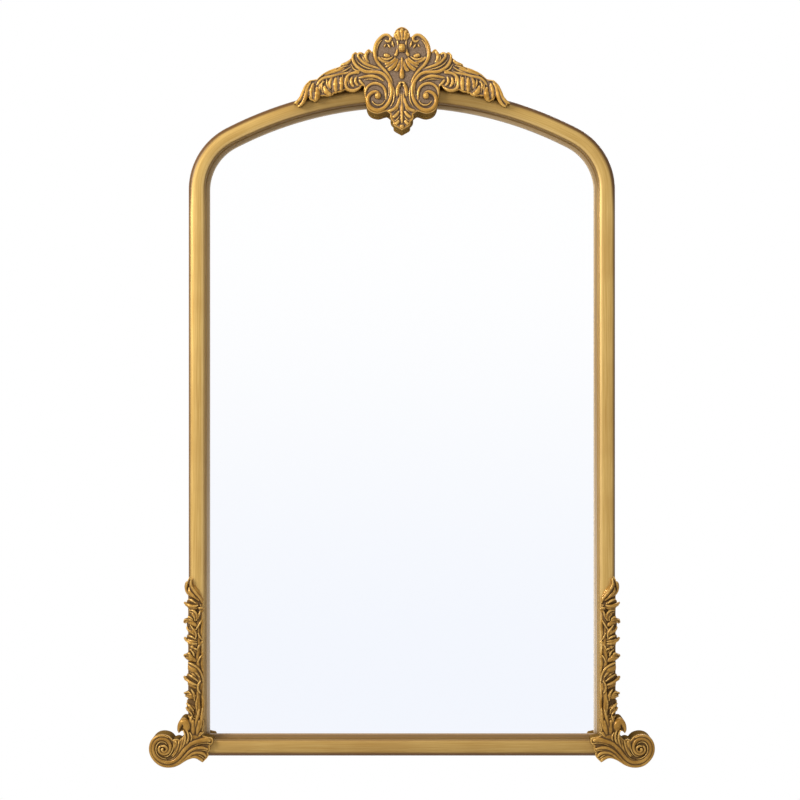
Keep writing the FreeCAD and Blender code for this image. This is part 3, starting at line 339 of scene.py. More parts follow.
def colour(red, green, blue):
    """Colour on the usual scale of 0 to 255, as the linear numbers that a shader takes."""
    shares = [part / 255 for part in (red, green, blue)]
    return tuple(s / 12.92 if s < 0.04045 else ((s + 0.055) / 1.055) ** 2.4 for s in shares) + (1,)


print("mid grey in linear numbers", round(colour(128, 128, 128)[0], 3))

# %% [markdown]
# Antique gold on a moulding is a warm metallic paint, brushed lengthwise and toned with umber that
# the maker wipes off the high face, so it stays darker along both edges and beside the lip; on the
# outer roll and in the quirk that darkening is partly painted shade. A plain gold would look like
# plastic. The finish mixes gold and umber by the distance from the outer edge, lets the umber and
# painted shade run wider on the rail and the arch, paints shade over the rail and over the crown under
# the crest, lays a pale line of rubbed gold with a painted highlight on the inner roll, gives the lip a
# painted reflection of the glass, and breaks everything up with long streaks.

# %% Tones of the moulding: insets in millimetres, heights in metres
OUTER_EDGE, WORN_HIGHLIGHT_LINE, QUIRK, LIP = (1.2, 5.4), (15.2, 16.4), (17.8, 19.2), (20.9, 21.8)
RAIL_TOP, LIP_HEIGHTS, BEND_START, CROWN_START = (-0.594, -0.588), (-0.5, -0.1), (0.04, 0.1), (0.12, 0.18)
FULL_GOLD, PALE_GOLD, OLD_GOLD = colour(188, 149, 78), colour(211, 175, 104), colour(172, 130, 66)
# Browns: painted shade on the rail and on the crown, and umber with painted shade on the outer edge.
RAIL_SHADE_BROWN, CROWN_SHADE_BROWN, EDGE_UMBER_AND_SHADE = colour(110, 76, 34), colour(104, 76, 36), colour(88, 54, 18)
# Pale gold for rubbed wear with a painted highlight, and a brown for umber with painted shade in the quirk.
WORN_HIGHLIGHT_GOLD, QUIRK_UMBER_AND_SHADE = colour(232, 200, 140), colour(104, 76, 40)
# Lip colours that paint a reflection of the glass, and its shade higher up and on the rail.
LIP_REFLECTION_LOW, LIP_REFLECTION_HIGH, LIP_REFLECTION_RAIL = colour(206, 190, 168), colour(172, 146, 108), colour(146, 116, 78)
print("lip from", LIP[0], "mm in")

# %% Gilded moulding
gilding = Finish("gilded_moulding", Specular_IOR_Level=0.2)
inset, along = gilding.kept("inset"), gilding.kept("along")
spot = gilding.place()
sideways, depth, height = [gilding.axis(spot, index) for index in range(3)]
flow = gilding.start.node("ShaderNodeCombineXYZ", None, {0: along * 0.012, 1: inset, 2: depth * 1000})
streaks = gilding.noise(flow, 1.3, 4.0)
clouds = gilding.noise(spot, 14.0, 2.0)
foot = 1 - height.between(*RAIL_TOP)
bend = height.between(*BEND_START)
# Umber along the outer edge, partly painted shade on the outer roll, wider on the arch and the rail.
outer_umber_and_shade = 1 - (inset + streaks * 1.2 - bend * 2.6 - foot * 2.2).between(*OUTER_EDGE)
quirk = (inset - streaks * 0.5).between(*QUIRK)
# Pale line on the inner roll: rubbed gold and a painted highlight, kept off the rail and the crown.
worn_highlight = (inset - streaks).between(*WORN_HIGHLIGHT_LINE) * (1 - quirk) * (1 - foot)
# Painted shade on the crown of the arch beneath the crest, fading out to the sides.
beside = gilding.start.node("ShaderNodeMath", {"operation": "ABSOLUTE"}, {0: sideways})
crest_shade = height.between(*CROWN_START) * (1 - (beside + clouds * 0.05).between(0.1, 0.2))
gold = streaks.between(0.3, 0.7).mix(FULL_GOLD, PALE_GOLD)
gold = (clouds.between(0.35, 0.75) * 0.4).mix(gold, OLD_GOLD)
# Painted shade: the rail is mixed towards a darker brown.
gold = (foot * 0.3).mix(gold, RAIL_SHADE_BROWN)
gold = (crest_shade * 0.5).mix(gold, CROWN_SHADE_BROWN)
toned = (outer_umber_and_shade * 0.95).mix(gold, EDGE_UMBER_AND_SHADE)
toned = (worn_highlight * (1 - crest_shade) * 0.25).mix(toned, WORN_HIGHLIGHT_GOLD)
# Umber in the quirk beside the lip, with painted shade, darker on the arch and the rail.
toned = (quirk * (0.5 + bend * 0.3 + foot * 0.2)).mix(toned, QUIRK_UMBER_AND_SHADE)
# The lip is given a painted reflection of the glass: pale low on the stiles, darker higher up, brown on the
# rail.
lip = inset.between(*LIP)
lip_reflection_and_shade = foot.mix(height.between(*LIP_HEIGHTS).mix(LIP_REFLECTION_LOW, LIP_REFLECTION_HIGH), LIP_REFLECTION_RAIL)
gilding.feed("Base Color", (lip * 0.85).mix(toned, lip_reflection_and_shade))
gilding.feed("Roughness", 0.34 + streaks * 0.18)
gilding.feed("Metallic", 0.4 - outer_umber_and_shade * 0.38 - lip * 0.3)
gilding.bump(streaks, 0.12, 0.0004)
for length in (stile, rail, arch):
    length.data.materials.append(gilding.material)
print("gilding", len(gilding.tree.nodes), "nodes")

# %% [markdown]
# Each finished length moves with the mirror's body and stands for one solid, which is then hidden.
# The left half could be modelled again, but a mirror image is quicker and matches exactly. It gets a
# mesh of its own, with its faces turned round, because mirroring turns them inside out.


# %% Hand the frame over
def mirrored_copy(piece, name):
    """Mirror image of a finished piece across the centre line, with a mesh of its own."""
    twin = bpy.data.objects.new(name, piece.data.copy())
    bpy.context.scene.collection.objects.link(twin)
    twin.data.transform(Matrix.Diagonal((-1, 1, 1, 1)))
    twin.data.flip_normals()
    return twin


def hand_over(piece, node):
    """The piece moves with the mirror and stands for one solid."""
    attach(piece, "mirror")
    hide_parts(node)
    print(piece.name, "faces", len(piece.data.polygons), "stands for", node)


hand_over(stile, "frame_stile_right")
hand_over(mirrored_copy(stile, "moulding_stile_left"), "frame_stile_left")
hand_over(rail, "frame_bottom_rail")
hand_over(arch, "frame_arch_right")
hand_over(mirrored_copy(arch, "moulding_arch_left"), "frame_arch_left")

# %% [markdown]
# The castings come from a mould that a carver modelled: a ground with ridges, and finer lines laid
# over it. The solids hold the ground and the main ridges. The finer lines are laid on here as
# tapered rolls of clay, one curve each, and then everything is fused by a voxel remesh and eased
# a little, as a casting's edges are.


# %% Copies of a solid, and ways to change them
def applied(piece, kind, **settings):
    """Adds one modifier with its settings and applies it."""
    only(piece)
    modifier = piece.modifiers.new(kind.title(), kind)
    for name, value in settings.items():
        setattr(modifier, name, value)
    bpy.ops.object.modifier_apply(modifier=modifier.name)


def merged_copy(node, name):
    """New object with the mesh of a solid, its loose triangles merged."""
    piece = bpy.data.objects.new(name, nodes[node].data.copy())
    bpy.context.scene.collection.objects.link(piece)
    piece.data.materials.clear()
    edit_all(piece)
    bpy.ops.mesh.customdata_custom_splitnormals_clear()
    bpy.ops.mesh.remove_doubles(threshold=0.002 * MM)
    leave_edit()
    return piece


def reshape(piece, points):
    """Puts the vertices at these points, in millimetres."""
    piece.data.vertices.foreach_set("co", (points * MM).ravel())
    piece.data.update()


# %% Clay rolls
TIP_SHARE = 0.55


def roll_radius(radii, share):
    """Radius between start, middle and end of a roll, drawn in at its tips."""
    first, middle, last = radii
    if share < 0.5:
        radius = first + (middle - first) * share * 2
    else:
        radius = middle + (last - middle) * (share * 2 - 1)
    return radius * (TIP_SHARE if share in (0, 1) else 1)


def clay_rolls(name, place, strokes):
    """One object with a tapered tube along each stroke: radii in millimetres, then its points."""
    rolls = bpy.data.curves.new(name, "CURVE")
    rolls.dimensions = "3D"
    rolls.bevel_depth = MM
    rolls.bevel_resolution = 2
    rolls.resolution_u = 6
    rolls.use_fill_caps = True
    for radii, stroke in strokes:
        spline = rolls.splines.new("BEZIER")
        spline.bezier_points.add(len(stroke) - 1)
        for index, (knot, point) in enumerate(zip(spline.bezier_points, stroke)):
            knot.co = place(*point)
            knot.radius = roll_radius(radii, index / (len(stroke) - 1))
        for knot in spline.bezier_points:
            knot.handle_left_type = knot.handle_right_type = "AUTO"
    piece = bpy.data.objects.new(name, rolls)
    bpy.context.scene.collection.objects.link(piece)
    only(piece)
    bpy.ops.object.convert(target="MESH")
    print(name, "strokes", len(strokes))
    return piece


def fused(ground, rolls, voxel, easing):
    """Ground and rolls as one closed skin."""
    only(ground)
    rolls.select_set(True)
    bpy.ops.object.join()
    applied(ground, "REMESH", mode="VOXEL", voxel_size=voxel * MM, use_smooth_shade=True)
    applied(ground, "SMOOTH", factor=0.5, iterations=easing)
    return ground


# %% [markdown]
# The gilder brushes a grey umber wash over the gold and wipes the high parts clean. To know what is
# high, each vertex is compared with the same skin after many rounds of averaging: ridges stand out
# of the averaged skin and grooves lie under it. A wide average finds ridges and ground, a narrow
# one finds the sharp lines that are rubbed bright and carry a painted highlight.

# %% Find ridges, grooves and walls
def edge_ends(mesh):
    """Numbers of the first and second vertex of every edge."""
    ends = np.empty(len(mesh.edges) * 2, dtype=np.int64)
    mesh.edges.foreach_get("vertices", ends)
    return ends.reshape(-1, 2).T


def averaging(mesh):
    """A function that moves every vertex to the middle of its neighbours."""
    first, second = edge_ends(mesh)
    count = len(mesh.vertices)
    degree = np.bincount(first, minlength=count) + np.bincount(second, minlength=count)

    def average(points):
        sides = [np.bincount(first, points[second, k], count) + np.bincount(second, points[first, k], count)
                 for k in range(3)]
        return np.stack(sides, axis=1) / degree[:, None]

    return average


def mark_relief(piece, wall_from, narrow, wide):
    """Keeps how far each vertex stands out, at two widths, and how far down a wall it lies."""
    mesh = piece.data
    points = coordinates(mesh)
    normals = np.empty(len(points) * 3)
    mesh.vertex_normals.foreach_get("vector", normals)
    normals = normals.reshape(-1, 3)
    average = averaging(mesh)
    eased = points
    for step in range(wide):
        eased = average(eased)
        if step + 1 == narrow:
            store(mesh, "edge", np.sum((points - eased) * normals, axis=1))
    rise = np.sum((points - eased) * normals, axis=1)
    store(mesh, "rise", rise)
    store(mesh, "wall", points[:, 1] - wall_from)
    print(piece.name, "stands out by", np.percentile(rise, (2, 50, 98)).round(2), "mm")


def thinned(piece, most):
    """Fewer triangles where the skin is flat."""
    triangles = 2 * len(piece.data.polygons)
    if triangles > most:
        applied(piece, "DECIMATE", ratio=most / triangles)
    only(piece)
    bpy.ops.object.shade_smooth()
    print(piece.name, "triangles", sum(len(face.vertices) - 2 for face in piece.data.polygons))


# %% [markdown]
# The crest over the crown: a bud and bead between two heart scrolls, bands that wind into volutes,
# a drop below and a feathered wing on each side. Its finer lines are given as shares of its half
# span and height, right half only, and a mirror modifier makes the other half. Sculpting would do as
# well, but strokes with numbers can be corrected one at a time. The drop's tip is raised a little at
# the end, so that it is as blunt as the real one.

# %% Crest
CREST_HALF_SPAN, CREST_HEIGHT, CREST_SEAT, CREST_GROUND = 133.0, 131.0, 0.455, 32.0
CROWN_TOP = CROWN_Z + CROWN_RADIUS
DROP_RAISE, DROP_REACH = 2.2, 9.0


def on_crest(across, up, lift=0.6):
    return at(CREST_HALF_SPAN * across, CREST_GROUND + lift, CROWN_TOP + CREST_HEIGHT * (up - CREST_SEAT))


CREST_LINES = (
    # small flowers in the heart
    ((1.1, 1.4, 0.8), ((0.088, 0.850), (0.084, 0.822), (0.074, 0.797))),
    ((0.9, 1.2, 0.7), ((0.128, 0.822), (0.116, 0.802), (0.108, 0.786))),
    ((1.2, 1.2, 0.9), ((0.150, 0.820), (0.157, 0.806), (0.163, 0.796))),
    # second line inside the heart scroll
    ((0.7, 1.0, 0.6), ((0.182, 0.862), (0.210, 0.830), (0.226, 0.788), (0.229, 0.738))),
    # eye of the volute and the thread round it
    ((3.2, 3.9, 3.2), ((0.221, 0.364, 1.0), (0.221, 0.352, 1.5), (0.221, 0.338, 1.9), (0.221, 0.324, 1.5),
                       (0.221, 0.312, 1.0))),
    ((0.6, 0.9, 0.6), ((0.156, 0.296), (0.178, 0.266), (0.212, 0.253), (0.248, 0.262), (0.274, 0.292))),
    # bead under the bud
    ((3.4, 4.5, 3.4), ((0, 0.814, 1.6), (0, 0.803, 2.2), (0, 0.786, 2.6), (0, 0.769, 2.2), (0, 0.758, 1.6))),
    # lines between the bands
    ((0.5, 0.8, 0.5), ((0.200, 0.578), (0.262, 0.586), (0.330, 0.604), (0.388, 0.638), (0.424, 0.680))),
    ((0.7, 0.9, 0.6), ((0.084, 0.440), (0.073, 0.390), (0.071, 0.335), (0.082, 0.280), (0.106, 0.240))),
    ((0.6, 0.8, 0.5), ((0.160, 0.548), (0.134, 0.505), (0.120, 0.440), (0.118, 0.370), (0.134, 0.310))),
    ((0.4, 0.7, 0.4), ((0.220, 0.484), (0.280, 0.496), (0.345, 0.490))),
    # fuller rays of the palmette and its tongue
    ((0.9, 1.8, 1.4), ((0.020, 0.672), (0.030, 0.624), (0.048, 0.590), (0.066, 0.574))),
    ((0.9, 1.9, 1.5), ((0.038, 0.686), (0.068, 0.636), (0.102, 0.602), (0.130, 0.588))),
    ((0.9, 1.7, 1.3), ((0.058, 0.698), (0.094, 0.660), (0.130, 0.640), (0.158, 0.636))),
    ((0.8, 1.5, 1.2), ((0.082, 0.706), (0.116, 0.684), (0.154, 0.680), (0.190, 0.696))),
    ((1.4, 2.1, 1.8), ((0, 0.590), (0, 0.548), (0, 0.510))),
    # wing
    ((0.91, 1.17, 0.78), ((0.712, 0.474), (0.736, 0.456), (0.758, 0.434))),
    ((0.78, 1.17, 0.65), ((0.546, 0.534), (0.541, 0.472), (0.549, 0.414))),
    ((0.78, 1.04, 0.65), ((0.588, 0.520), (0.594, 0.460), (0.596, 0.402))),
    ((0.65, 1.04, 0.65), ((0.848, 0.468), (0.884, 0.406), (0.907, 0.334), (0.968, 0.258))),
    ((0.65, 0.91, 0.52), ((0.884, 0.446), (0.915, 0.374), (0.944, 0.312))),
    ((0.78, 1.17, 0.78), ((0.604, 0.592), (0.662, 0.572), (0.722, 0.541), (0.776, 0.498))),
    ((0.78, 1.17, 0.78), ((0.800, 0.486), (0.842, 0.478), (0.878, 0.452))),
    ((0.65, 1.04, 0.52), ((0.806, 0.440), (0.814, 0.376), (0.812, 0.318))),
    ((0.65, 0.91, 0.52), ((0.680, 0.446), (0.672, 0.400), (0.648, 0.376))),
    ((0.65, 0.91, 0.52), ((0.484, 0.540), (0.496, 0.486), (0.484, 0.430))),
    ((0.91, 1.3, 0.78), ((0.586, 0.524), (0.584, 0.460), (0.586, 0.394))),
    ((0.78, 1.17, 0.65), ((0.634, 0.506), (0.636, 0.450), (0.634, 0.388))),
    ((0.91, 1.43, 0.78), ((0.690, 0.500), (0.688, 0.452), (0.672, 0.404))),
    ((0.91, 1.43, 0.78), ((0.722, 0.492), (0.738, 0.430), (0.728, 0.366))),
    ((0.78, 1.3, 0.65), ((0.760, 0.464), (0.756, 0.410), (0.752, 0.362))),
    ((0.78, 1.17, 0.65), ((0.856, 0.430), (0.862, 0.382), (0.858, 0.346))),
    ((0.65, 1.04, 0.65), ((0.490, 0.622), (0.546, 0.606), (0.600, 0.582))),
    ((0.65, 1.04, 0.65), ((0.470, 0.610), (0.524, 0.576), (0.580, 0.556), (0.640, 0.538))),
    ((0.65, 1.04, 0.65), ((0.350, 0.584), (0.396, 0.572), (0.440, 0.588), (0.466, 0.632))),
    ((0.65, 1.04, 0.52), ((0.300, 0.636), (0.330, 0.656), (0.356, 0.692), (0.352, 0.722))),
    # drop and the arch over it
    ((1.5, 1.6, 1.5), ((0, 0.466, 1.2), (0.016, 0.460, 1.2), (0.030, 0.436, 1.2))),
    ((0.6, 0.8, 0.6), ((0.016, 0.402), (0.018, 0.300), (0.017, 0.190))),
    ((0.9, 1.5, 1.1), ((0.024, 0.322), (0.034, 0.276), (0.058, 0.232), (0.092, 0.210), (0.116, 0.206))),
    ((0.8, 1.4, 1.0), ((0.028, 0.200), (0.048, 0.166), (0.080, 0.144))),
    ((0.5, 0.8, 0.5), ((0.024, 0.262), (0.042, 0.216), (0.074, 0.184))),
    ((0.5, 0.8, 0.5), ((0.022, 0.156), (0.040, 0.124), (0.064, 0.106))),
)
crest_rolls = clay_rolls("crest_rolls", on_crest, CREST_LINES)
applied(crest_rolls, "MIRROR", use_mirror_merge=False)
crest = fused(merged_copy("crest_casting", "carved_crest"), crest_rolls, voxel=0.5, easing=3)
clay = coordinates(crest.data)
clay[:, 2] += DROP_RAISE * np.clip(1 - (clay[:, 2] - clay[:, 2].min()) / DROP_REACH, 0, 1)
reshape(crest, clay)
mark_relief(crest, wall_from=BACK_Y - CREST_GROUND, narrow=5, wide=60)
thinned(crest, most=190000)

# %% [markdown]
# The corner scroll turns the foot of the frame outward. Its lobes flare at the rail, sweep under
# the corner and wind up in a volute, and a hooked leaf stands over them. It takes strokes in the same
# way as the crest, and then its volute is drawn in a little towards the stile. One corner is modelled
# and mirrored.

# %% Corner scrolls
SCROLL_UNIT, SCROLL_GROUND = 49.3, 30.0
VOLUTE_DRAW, DRAW_FROM, DRAW_OVER = 2.4, 5.0, 20.0


def on_scroll(outward, up, lift=0.8):
    return at(HALF_WIDTH + SCROLL_UNIT * outward, SCROLL_GROUND + lift, FOOT_Z + SCROLL_UNIT * up)


SCROLL_LINES = (
    # flutes that wind into the volute
    ((0.6, 1.0, 0.5), ((0.165, 0.440), (0.190, 0.270), (0.262, 0.105), (0.384, -0.020), (0.530, -0.062))),
    ((0.5, 0.9, 0.5), ((0.282, 0.430), (0.296, 0.300), (0.346, 0.160), (0.445, 0.046))),
    ((0.5, 0.9, 0.4), ((0.372, 0.400), (0.382, 0.280), (0.424, 0.160), (0.506, 0.058), (0.630, 0.016))),
    # end of the spiral in the eye of the volute, and the line before it
    ((1.7, 1.5, 2.0), ((0.690, 0.288), (0.612, 0.286), (0.562, 0.236), (0.568, 0.174), (0.616, 0.148),
                       (0.662, 0.166), (0.674, 0.208), (0.640, 0.226))),
    ((0.6, 0.9, 0.6), ((0.560, -0.040), (0.700, 0.000), (0.802, 0.094), (0.832, 0.220), (0.796, 0.335),
                       (0.715, 0.392), (0.622, 0.382), (0.556, 0.326))),
    # flutes that run down from the stem of the hook leaf
    ((1.2, 1.6, 0.7), ((0.096, 0.700, 3.6), (0.052, 0.560, 3.4), (0.056, 0.430, 2.6), (0.112, 0.280, 1.4),
                       (0.220, 0.120))),
    ((1.2, 1.6, 0.6), ((0.016, 0.720, 3.8), (-0.030, 0.560, 3.4), (-0.014, 0.440, 2.6), (0.060, 0.310, 1.4),
                       (0.160, 0.180))),
    ((1.0, 1.5, 0.6), ((-0.060, 0.640, 3.0), (-0.110, 0.530, 2.8), (-0.100, 0.456, 2.2), (-0.036, 0.366))),
    # lines beside the lobes
    ((0.7, 0.9, 0.5), ((-0.600, 0.350), (-0.420, 0.366), (-0.220, 0.322), (-0.040, 0.214), (0.095, 0.066))),
    ((0.6, 0.9, 0.5), ((-0.530, 0.158), (-0.380, 0.184), (-0.230, 0.178), (-0.085, 0.106), (0.045, -0.004))),
    ((0.5, 0.8, 0.5), ((-0.420, -0.030), (-0.345, 0.034), (-0.220, 0.074), (-0.080, 0.040), (0.050, -0.045))),
    ((0.6, 0.9, 0.5), ((-0.470, 0.470), (-0.300, 0.480), (-0.140, 0.430), (0.020, 0.330), (0.140, 0.200))),
    # rim of the hook leaf, and the stems
    ((0.7, 1.0, 0.5), ((0.020, 0.900), (0.100, 0.950), (0.176, 0.896), (0.230, 0.800), (0.244, 0.690))),
    ((0.6, 0.9, 0.6), ((-0.100, 0.450), (-0.090, 0.640), (-0.060, 0.800), (0.000, 0.900))),
    ((1.2, 2.2, 1.6), ((-0.132, 0.530), (-0.196, 0.770), (-0.240, 0.980), (-0.292, 1.200))),
    ((1.0, 1.8, 1.4), ((-0.270, 0.600), (-0.330, 0.800), (-0.352, 1.000), (-0.372, 1.240))),
    ((1.0, 1.8, 1.2), ((-0.040, 0.560), (-0.076, 0.740), (-0.080, 0.900), (-0.120, 1.060))),
    ((0.9, 1.6, 0.8), ((-0.200, 0.470), (-0.300, 0.550), (-0.400, 0.640))),
)
scroll_rolls = clay_rolls("scroll_rolls", on_scroll, SCROLL_LINES)
scroll = fused(merged_copy("corner_scroll_right", "carved_scroll_right"), scroll_rolls, voxel=0.42, easing=4)
clay = coordinates(scroll.data)
clay[:, 0] -= VOLUTE_DRAW * np.clip((clay[:, 0] - HALF_WIDTH - DRAW_FROM) / DRAW_OVER, 0, 1)
reshape(scroll, clay)
mark_relief(scroll, wall_from=BACK_Y - SCROLL_GROUND, narrow=6, wide=60)
thinned(scroll, most=120000)

# %% [markdown]
# A leaf spray climbs each stile above the scroll: a stem on the inner side and lobes that sweep out
# and curl past the outer edge, with a flame-shaped leaf on top. Its points are shares of the
# moulding's width in from the outer edge, and of the spray's length. Thick rolls make the bodies of
# the leaves and the inner stems, thinner ones their lines, and between the leaf tips the ground is
# drawn back to the frame's edge.

# %% Lines of the leaf sprays
SPRAY_LENGTH, SPRAY_FOOT, SPRAY_CURL = 191.0, 30.5, 0.42


def on_spray(across, up, lift=4.3):
    """Point over the moulding's front, which falls away past its outer roll."""
    inset = MOULDING * across
    fall = max(OUTER_ROLL - inset, 0)
    depth = MOULDING - SPRAY_CURL * fall ** 2 / OUTER_ROLL + lift
    return at(HALF_WIDTH - inset, depth, FOOT_Z + SPRAY_FOOT + SPRAY_LENGTH * up)


SPRAY_LINES = (
    # flame leaf
    ((1.2, 2.0, 1.4), ((0.13, 1.002), (-0.06, 0.945), (-0.08, 0.908), (0.06, 0.884))),
    ((1.2, 2.0, 1.2), ((0.17, 0.990), (0.18, 0.945), (0.39, 0.899), (0.63, 0.858, 3.4), (0.72, 0.828, 1.8))),
    # lobes that curl past the edge, from the top down
    ((1.2, 1.6, 1.2), ((0.03, 0.856), (0.23, 0.846), (0.41, 0.829))),
    ((2.9, 2.3, 1.5), ((-0.19, 0.829), (0.03, 0.816), (0.34, 0.810), (0.52, 0.818))),
    ((1.4, 1.9, 1.4), ((0.05, 0.785), (0.30, 0.780), (0.45, 0.753), (0.44, 0.718))),
    ((1.0, 1.5, 1.0), ((0.20, 0.757), (0.33, 0.744), (0.34, 0.716))),
    ((1.2, 2.0, 2.9), ((0.26, 0.726), (0.08, 0.738), (-0.08, 0.729), (-0.21, 0.701))),
    ((1.1, 1.5, 1.2), ((0.12, 0.714), (-0.05, 0.709), (-0.17, 0.695))),
    ((2.2, 1.9, 1.2), ((-0.06, 0.677), (0.04, 0.654), (0.19, 0.642))),
    ((1.1, 1.5, 1.0), ((0.03, 0.620), (0.21, 0.614), (0.37, 0.600))),
    ((2.9, 2.3, 1.4), ((-0.19, 0.604), (0.03, 0.580), (0.26, 0.571), (0.47, 0.569))),
    ((1.0, 1.4, 1.0), ((0.17, 0.528), (0.29, 0.508), (0.32, 0.488))),
    ((2.7, 2.0, 1.1), ((-0.21, 0.484), (-0.10, 0.500), (0.08, 0.505), (0.17, 0.493))),
    ((1.3, 1.6, 1.0), ((-0.17, 0.474), (-0.01, 0.478), (0.17, 0.483), (0.28, 0.474))),
    ((1.3, 1.7, 1.2), ((-0.05, 0.448), (0.17, 0.440), (0.48, 0.414), (0.67, 0.376, 3.2), (0.71, 0.345, 2.4))),
    ((1.4, 2.2, 1.4), ((-0.01, 0.426), (0.21, 0.408), (0.45, 0.379), (0.59, 0.354))),
    ((1.2, 1.7, 1.2), ((0.03, 0.371), (0.23, 0.359), (0.52, 0.328))),
    ((2.9, 2.3, 1.4), ((-0.21, 0.353), (-0.03, 0.332), (0.23, 0.315), (0.48, 0.303))),
    ((1.2, 1.6, 1.2), ((0.17, 0.277), (0.29, 0.253), (0.34, 0.206))),
    ((2.7, 2.0, 1.2), ((-0.19, 0.245), (-0.03, 0.258), (0.15, 0.250))),
    ((1.3, 1.6, 1.2), ((-0.17, 0.227), (0.03, 0.231), (0.17, 0.222))),
    ((2.2, 2.0, 1.3), ((-0.07, 0.184), (0.10, 0.168), (0.30, 0.140))),
    ((2.2, 2.0, 1.3), ((-0.10, 0.156), (0.06, 0.140), (0.22, 0.114))),
    # bud, stems and small leaves on the inner side
    ((5.0, 2.8, 5.0), ((0.63, 0.806), (0.635, 0.799), (0.64, 0.792))),
    ((1.2, 1.4, 1.0), ((0.63, 0.782), (0.57, 0.759), (0.50, 0.728))),
    ((1.0, 1.3, 1.1), ((0.72, 0.732, 1.6), (0.59, 0.700, 3.6), (0.41, 0.660))),
    ((1.1, 1.4, 1.1), ((0.12, 0.690), (0.28, 0.662), (0.41, 0.630), (0.39, 0.600))),
    ((1.1, 1.4, 0.9), ((0.52, 0.640), (0.59, 0.613, 3.4), (0.76, 0.582, 1.2))),
    ((0.9, 1.3, 1.0), ((0.70, 0.577, 1.8), (0.54, 0.552, 3.6), (0.49, 0.533))),
    ((1.0, 1.4, 1.0), ((0.25, 0.541), (0.39, 0.537), (0.50, 0.527))),
    ((0.9, 1.2, 1.0), ((0.78, 0.503, 1.2), (0.62, 0.484, 3.0), (0.50, 0.450))),
    ((1.3, 1.7, 1.2), ((0.63, 0.332), (0.52, 0.303), (0.53, 0.271), (0.62, 0.251))),
    ((1.4, 1.8, 1.4), ((0.50, 0.240), (0.44, 0.180), (0.50, 0.120))),
)
print("spray lines", len(SPRAY_LINES))

# %% Leaf bodies and inner stems
SPRAY_BODIES = (
    ((0.06, 0.930), (0.10, 0.905), (0.26, 0.880), (0.48, 0.852)),
    ((-0.12, 0.820), (0.05, 0.806), (0.30, 0.798), (0.55, 0.804)),
    ((0.10, 0.772), (0.28, 0.764), (0.40, 0.740), (0.40, 0.714)),
    ((-0.14, 0.704), (0.00, 0.720), (0.16, 0.721), (0.30, 0.704)),
    ((0.00, 0.666), (0.12, 0.651), (0.28, 0.638), (0.40, 0.616)),
    ((-0.10, 0.596), (0.05, 0.588), (0.26, 0.584), (0.45, 0.582)),
    ((0.08, 0.556), (0.24, 0.550), (0.40, 0.544)),
    ((-0.15, 0.479), (0.00, 0.490), (0.15, 0.490), (0.28, 0.480)),
    ((0.02, 0.437), (0.20, 0.424), (0.45, 0.397), (0.62, 0.366)),
    ((0.10, 0.391), (0.30, 0.374), (0.50, 0.344)),
    ((-0.14, 0.344), (0.00, 0.325), (0.23, 0.305), (0.45, 0.294)),
    ((0.22, 0.264), (0.32, 0.236), (0.36, 0.200)),
    ((-0.12, 0.237), (0.03, 0.243), (0.20, 0.238), (0.32, 0.224)),
    ((0.00, 0.170), (0.12, 0.152), (0.30, 0.128)),
    ((0.02, 0.104), (0.18, 0.090), (0.36, 0.070)),
    ((0.52, 0.300), (0.50, 0.230), (0.54, 0.150), (0.60, 0.070)),
)
INNER_STEMS = (
    ((0.70, 0.800), (0.65, 0.750), (0.70, 0.690), (0.66, 0.630), (0.71, 0.570)),
    ((0.66, 0.560), (0.71, 0.500), (0.67, 0.440), (0.73, 0.390), (0.69, 0.330)),
    ((0.74, 0.330), (0.68, 0.260), (0.74, 0.190), (0.70, 0.110), (0.76, 0.030)),
)
BODY_RADII, BODY_LIFT = (1.4, 2.9, 1.7), 3.0
STEM_RADII, STEM_LIFT = (1.2, 2.0, 1.4), 1.2


def even_strokes(radii, lift, paths):
    """Strokes that all have the same radii and lie equally high."""
    return [(radii, tuple((across, up, lift) for across, up in path)) for path in paths]


stems = even_strokes(STEM_RADII, STEM_LIFT, INNER_STEMS)
bodies = even_strokes(BODY_RADII, BODY_LIFT, SPRAY_BODIES)
spray_rolls = clay_rolls("spray_rolls", on_spray, stems + bodies + list(SPRAY_LINES))
spray = fused(merged_copy("leaf_spray_right", "carved_spray_right"), spray_rolls, voxel=0.4, easing=3)

# %% Ground between the leaf tips
LEAF_ENDS = (0.152, 0.182, 0.238, 0.348, 0.482, 0.600, 0.676, 0.704, 0.824, 0.900, 0.925, 0.945)
LEAF_HALF, LEAF_FADE = 3.2, 2.0


def drawn_back(piece):
    """Between the leaves the ground stops at the frame's edge."""
    points = coordinates(piece.data)
    past = points[:, 0] - HALF_WIDTH
    up = (points[:, 2] - FOOT_Z - SPRAY_FOOT) / SPRAY_LENGTH
    apart = np.abs(up[:, None] - np.array(LEAF_ENDS)).min(axis=1) * SPRAY_LENGTH
    free = np.clip((apart - LEAF_HALF) / LEAF_FADE, 0, 1)
    points[:, 0] -= np.where(past > 0, past * free, 0)
    reshape(piece, points)


drawn_back(spray)
mark_relief(spray, wall_from=0.0, narrow=6, wide=40)
thinned(spray, most=120000)

# %% [markdown]
# The castings are gilded like the moulding but carry far more wash: a dusty grey umber lies on the
# ground, everything grows browner and darker towards the bottom, a dark line follows every groove,
# the walls are a dull brown that paints their shade, the ridges a deep gold, and their sharpest lines
# are rubbed pale and carry a painted highlight. Painting this by hand would take a picture. The
# numbers kept on the mesh drive the mix instead, with noise to break it up.

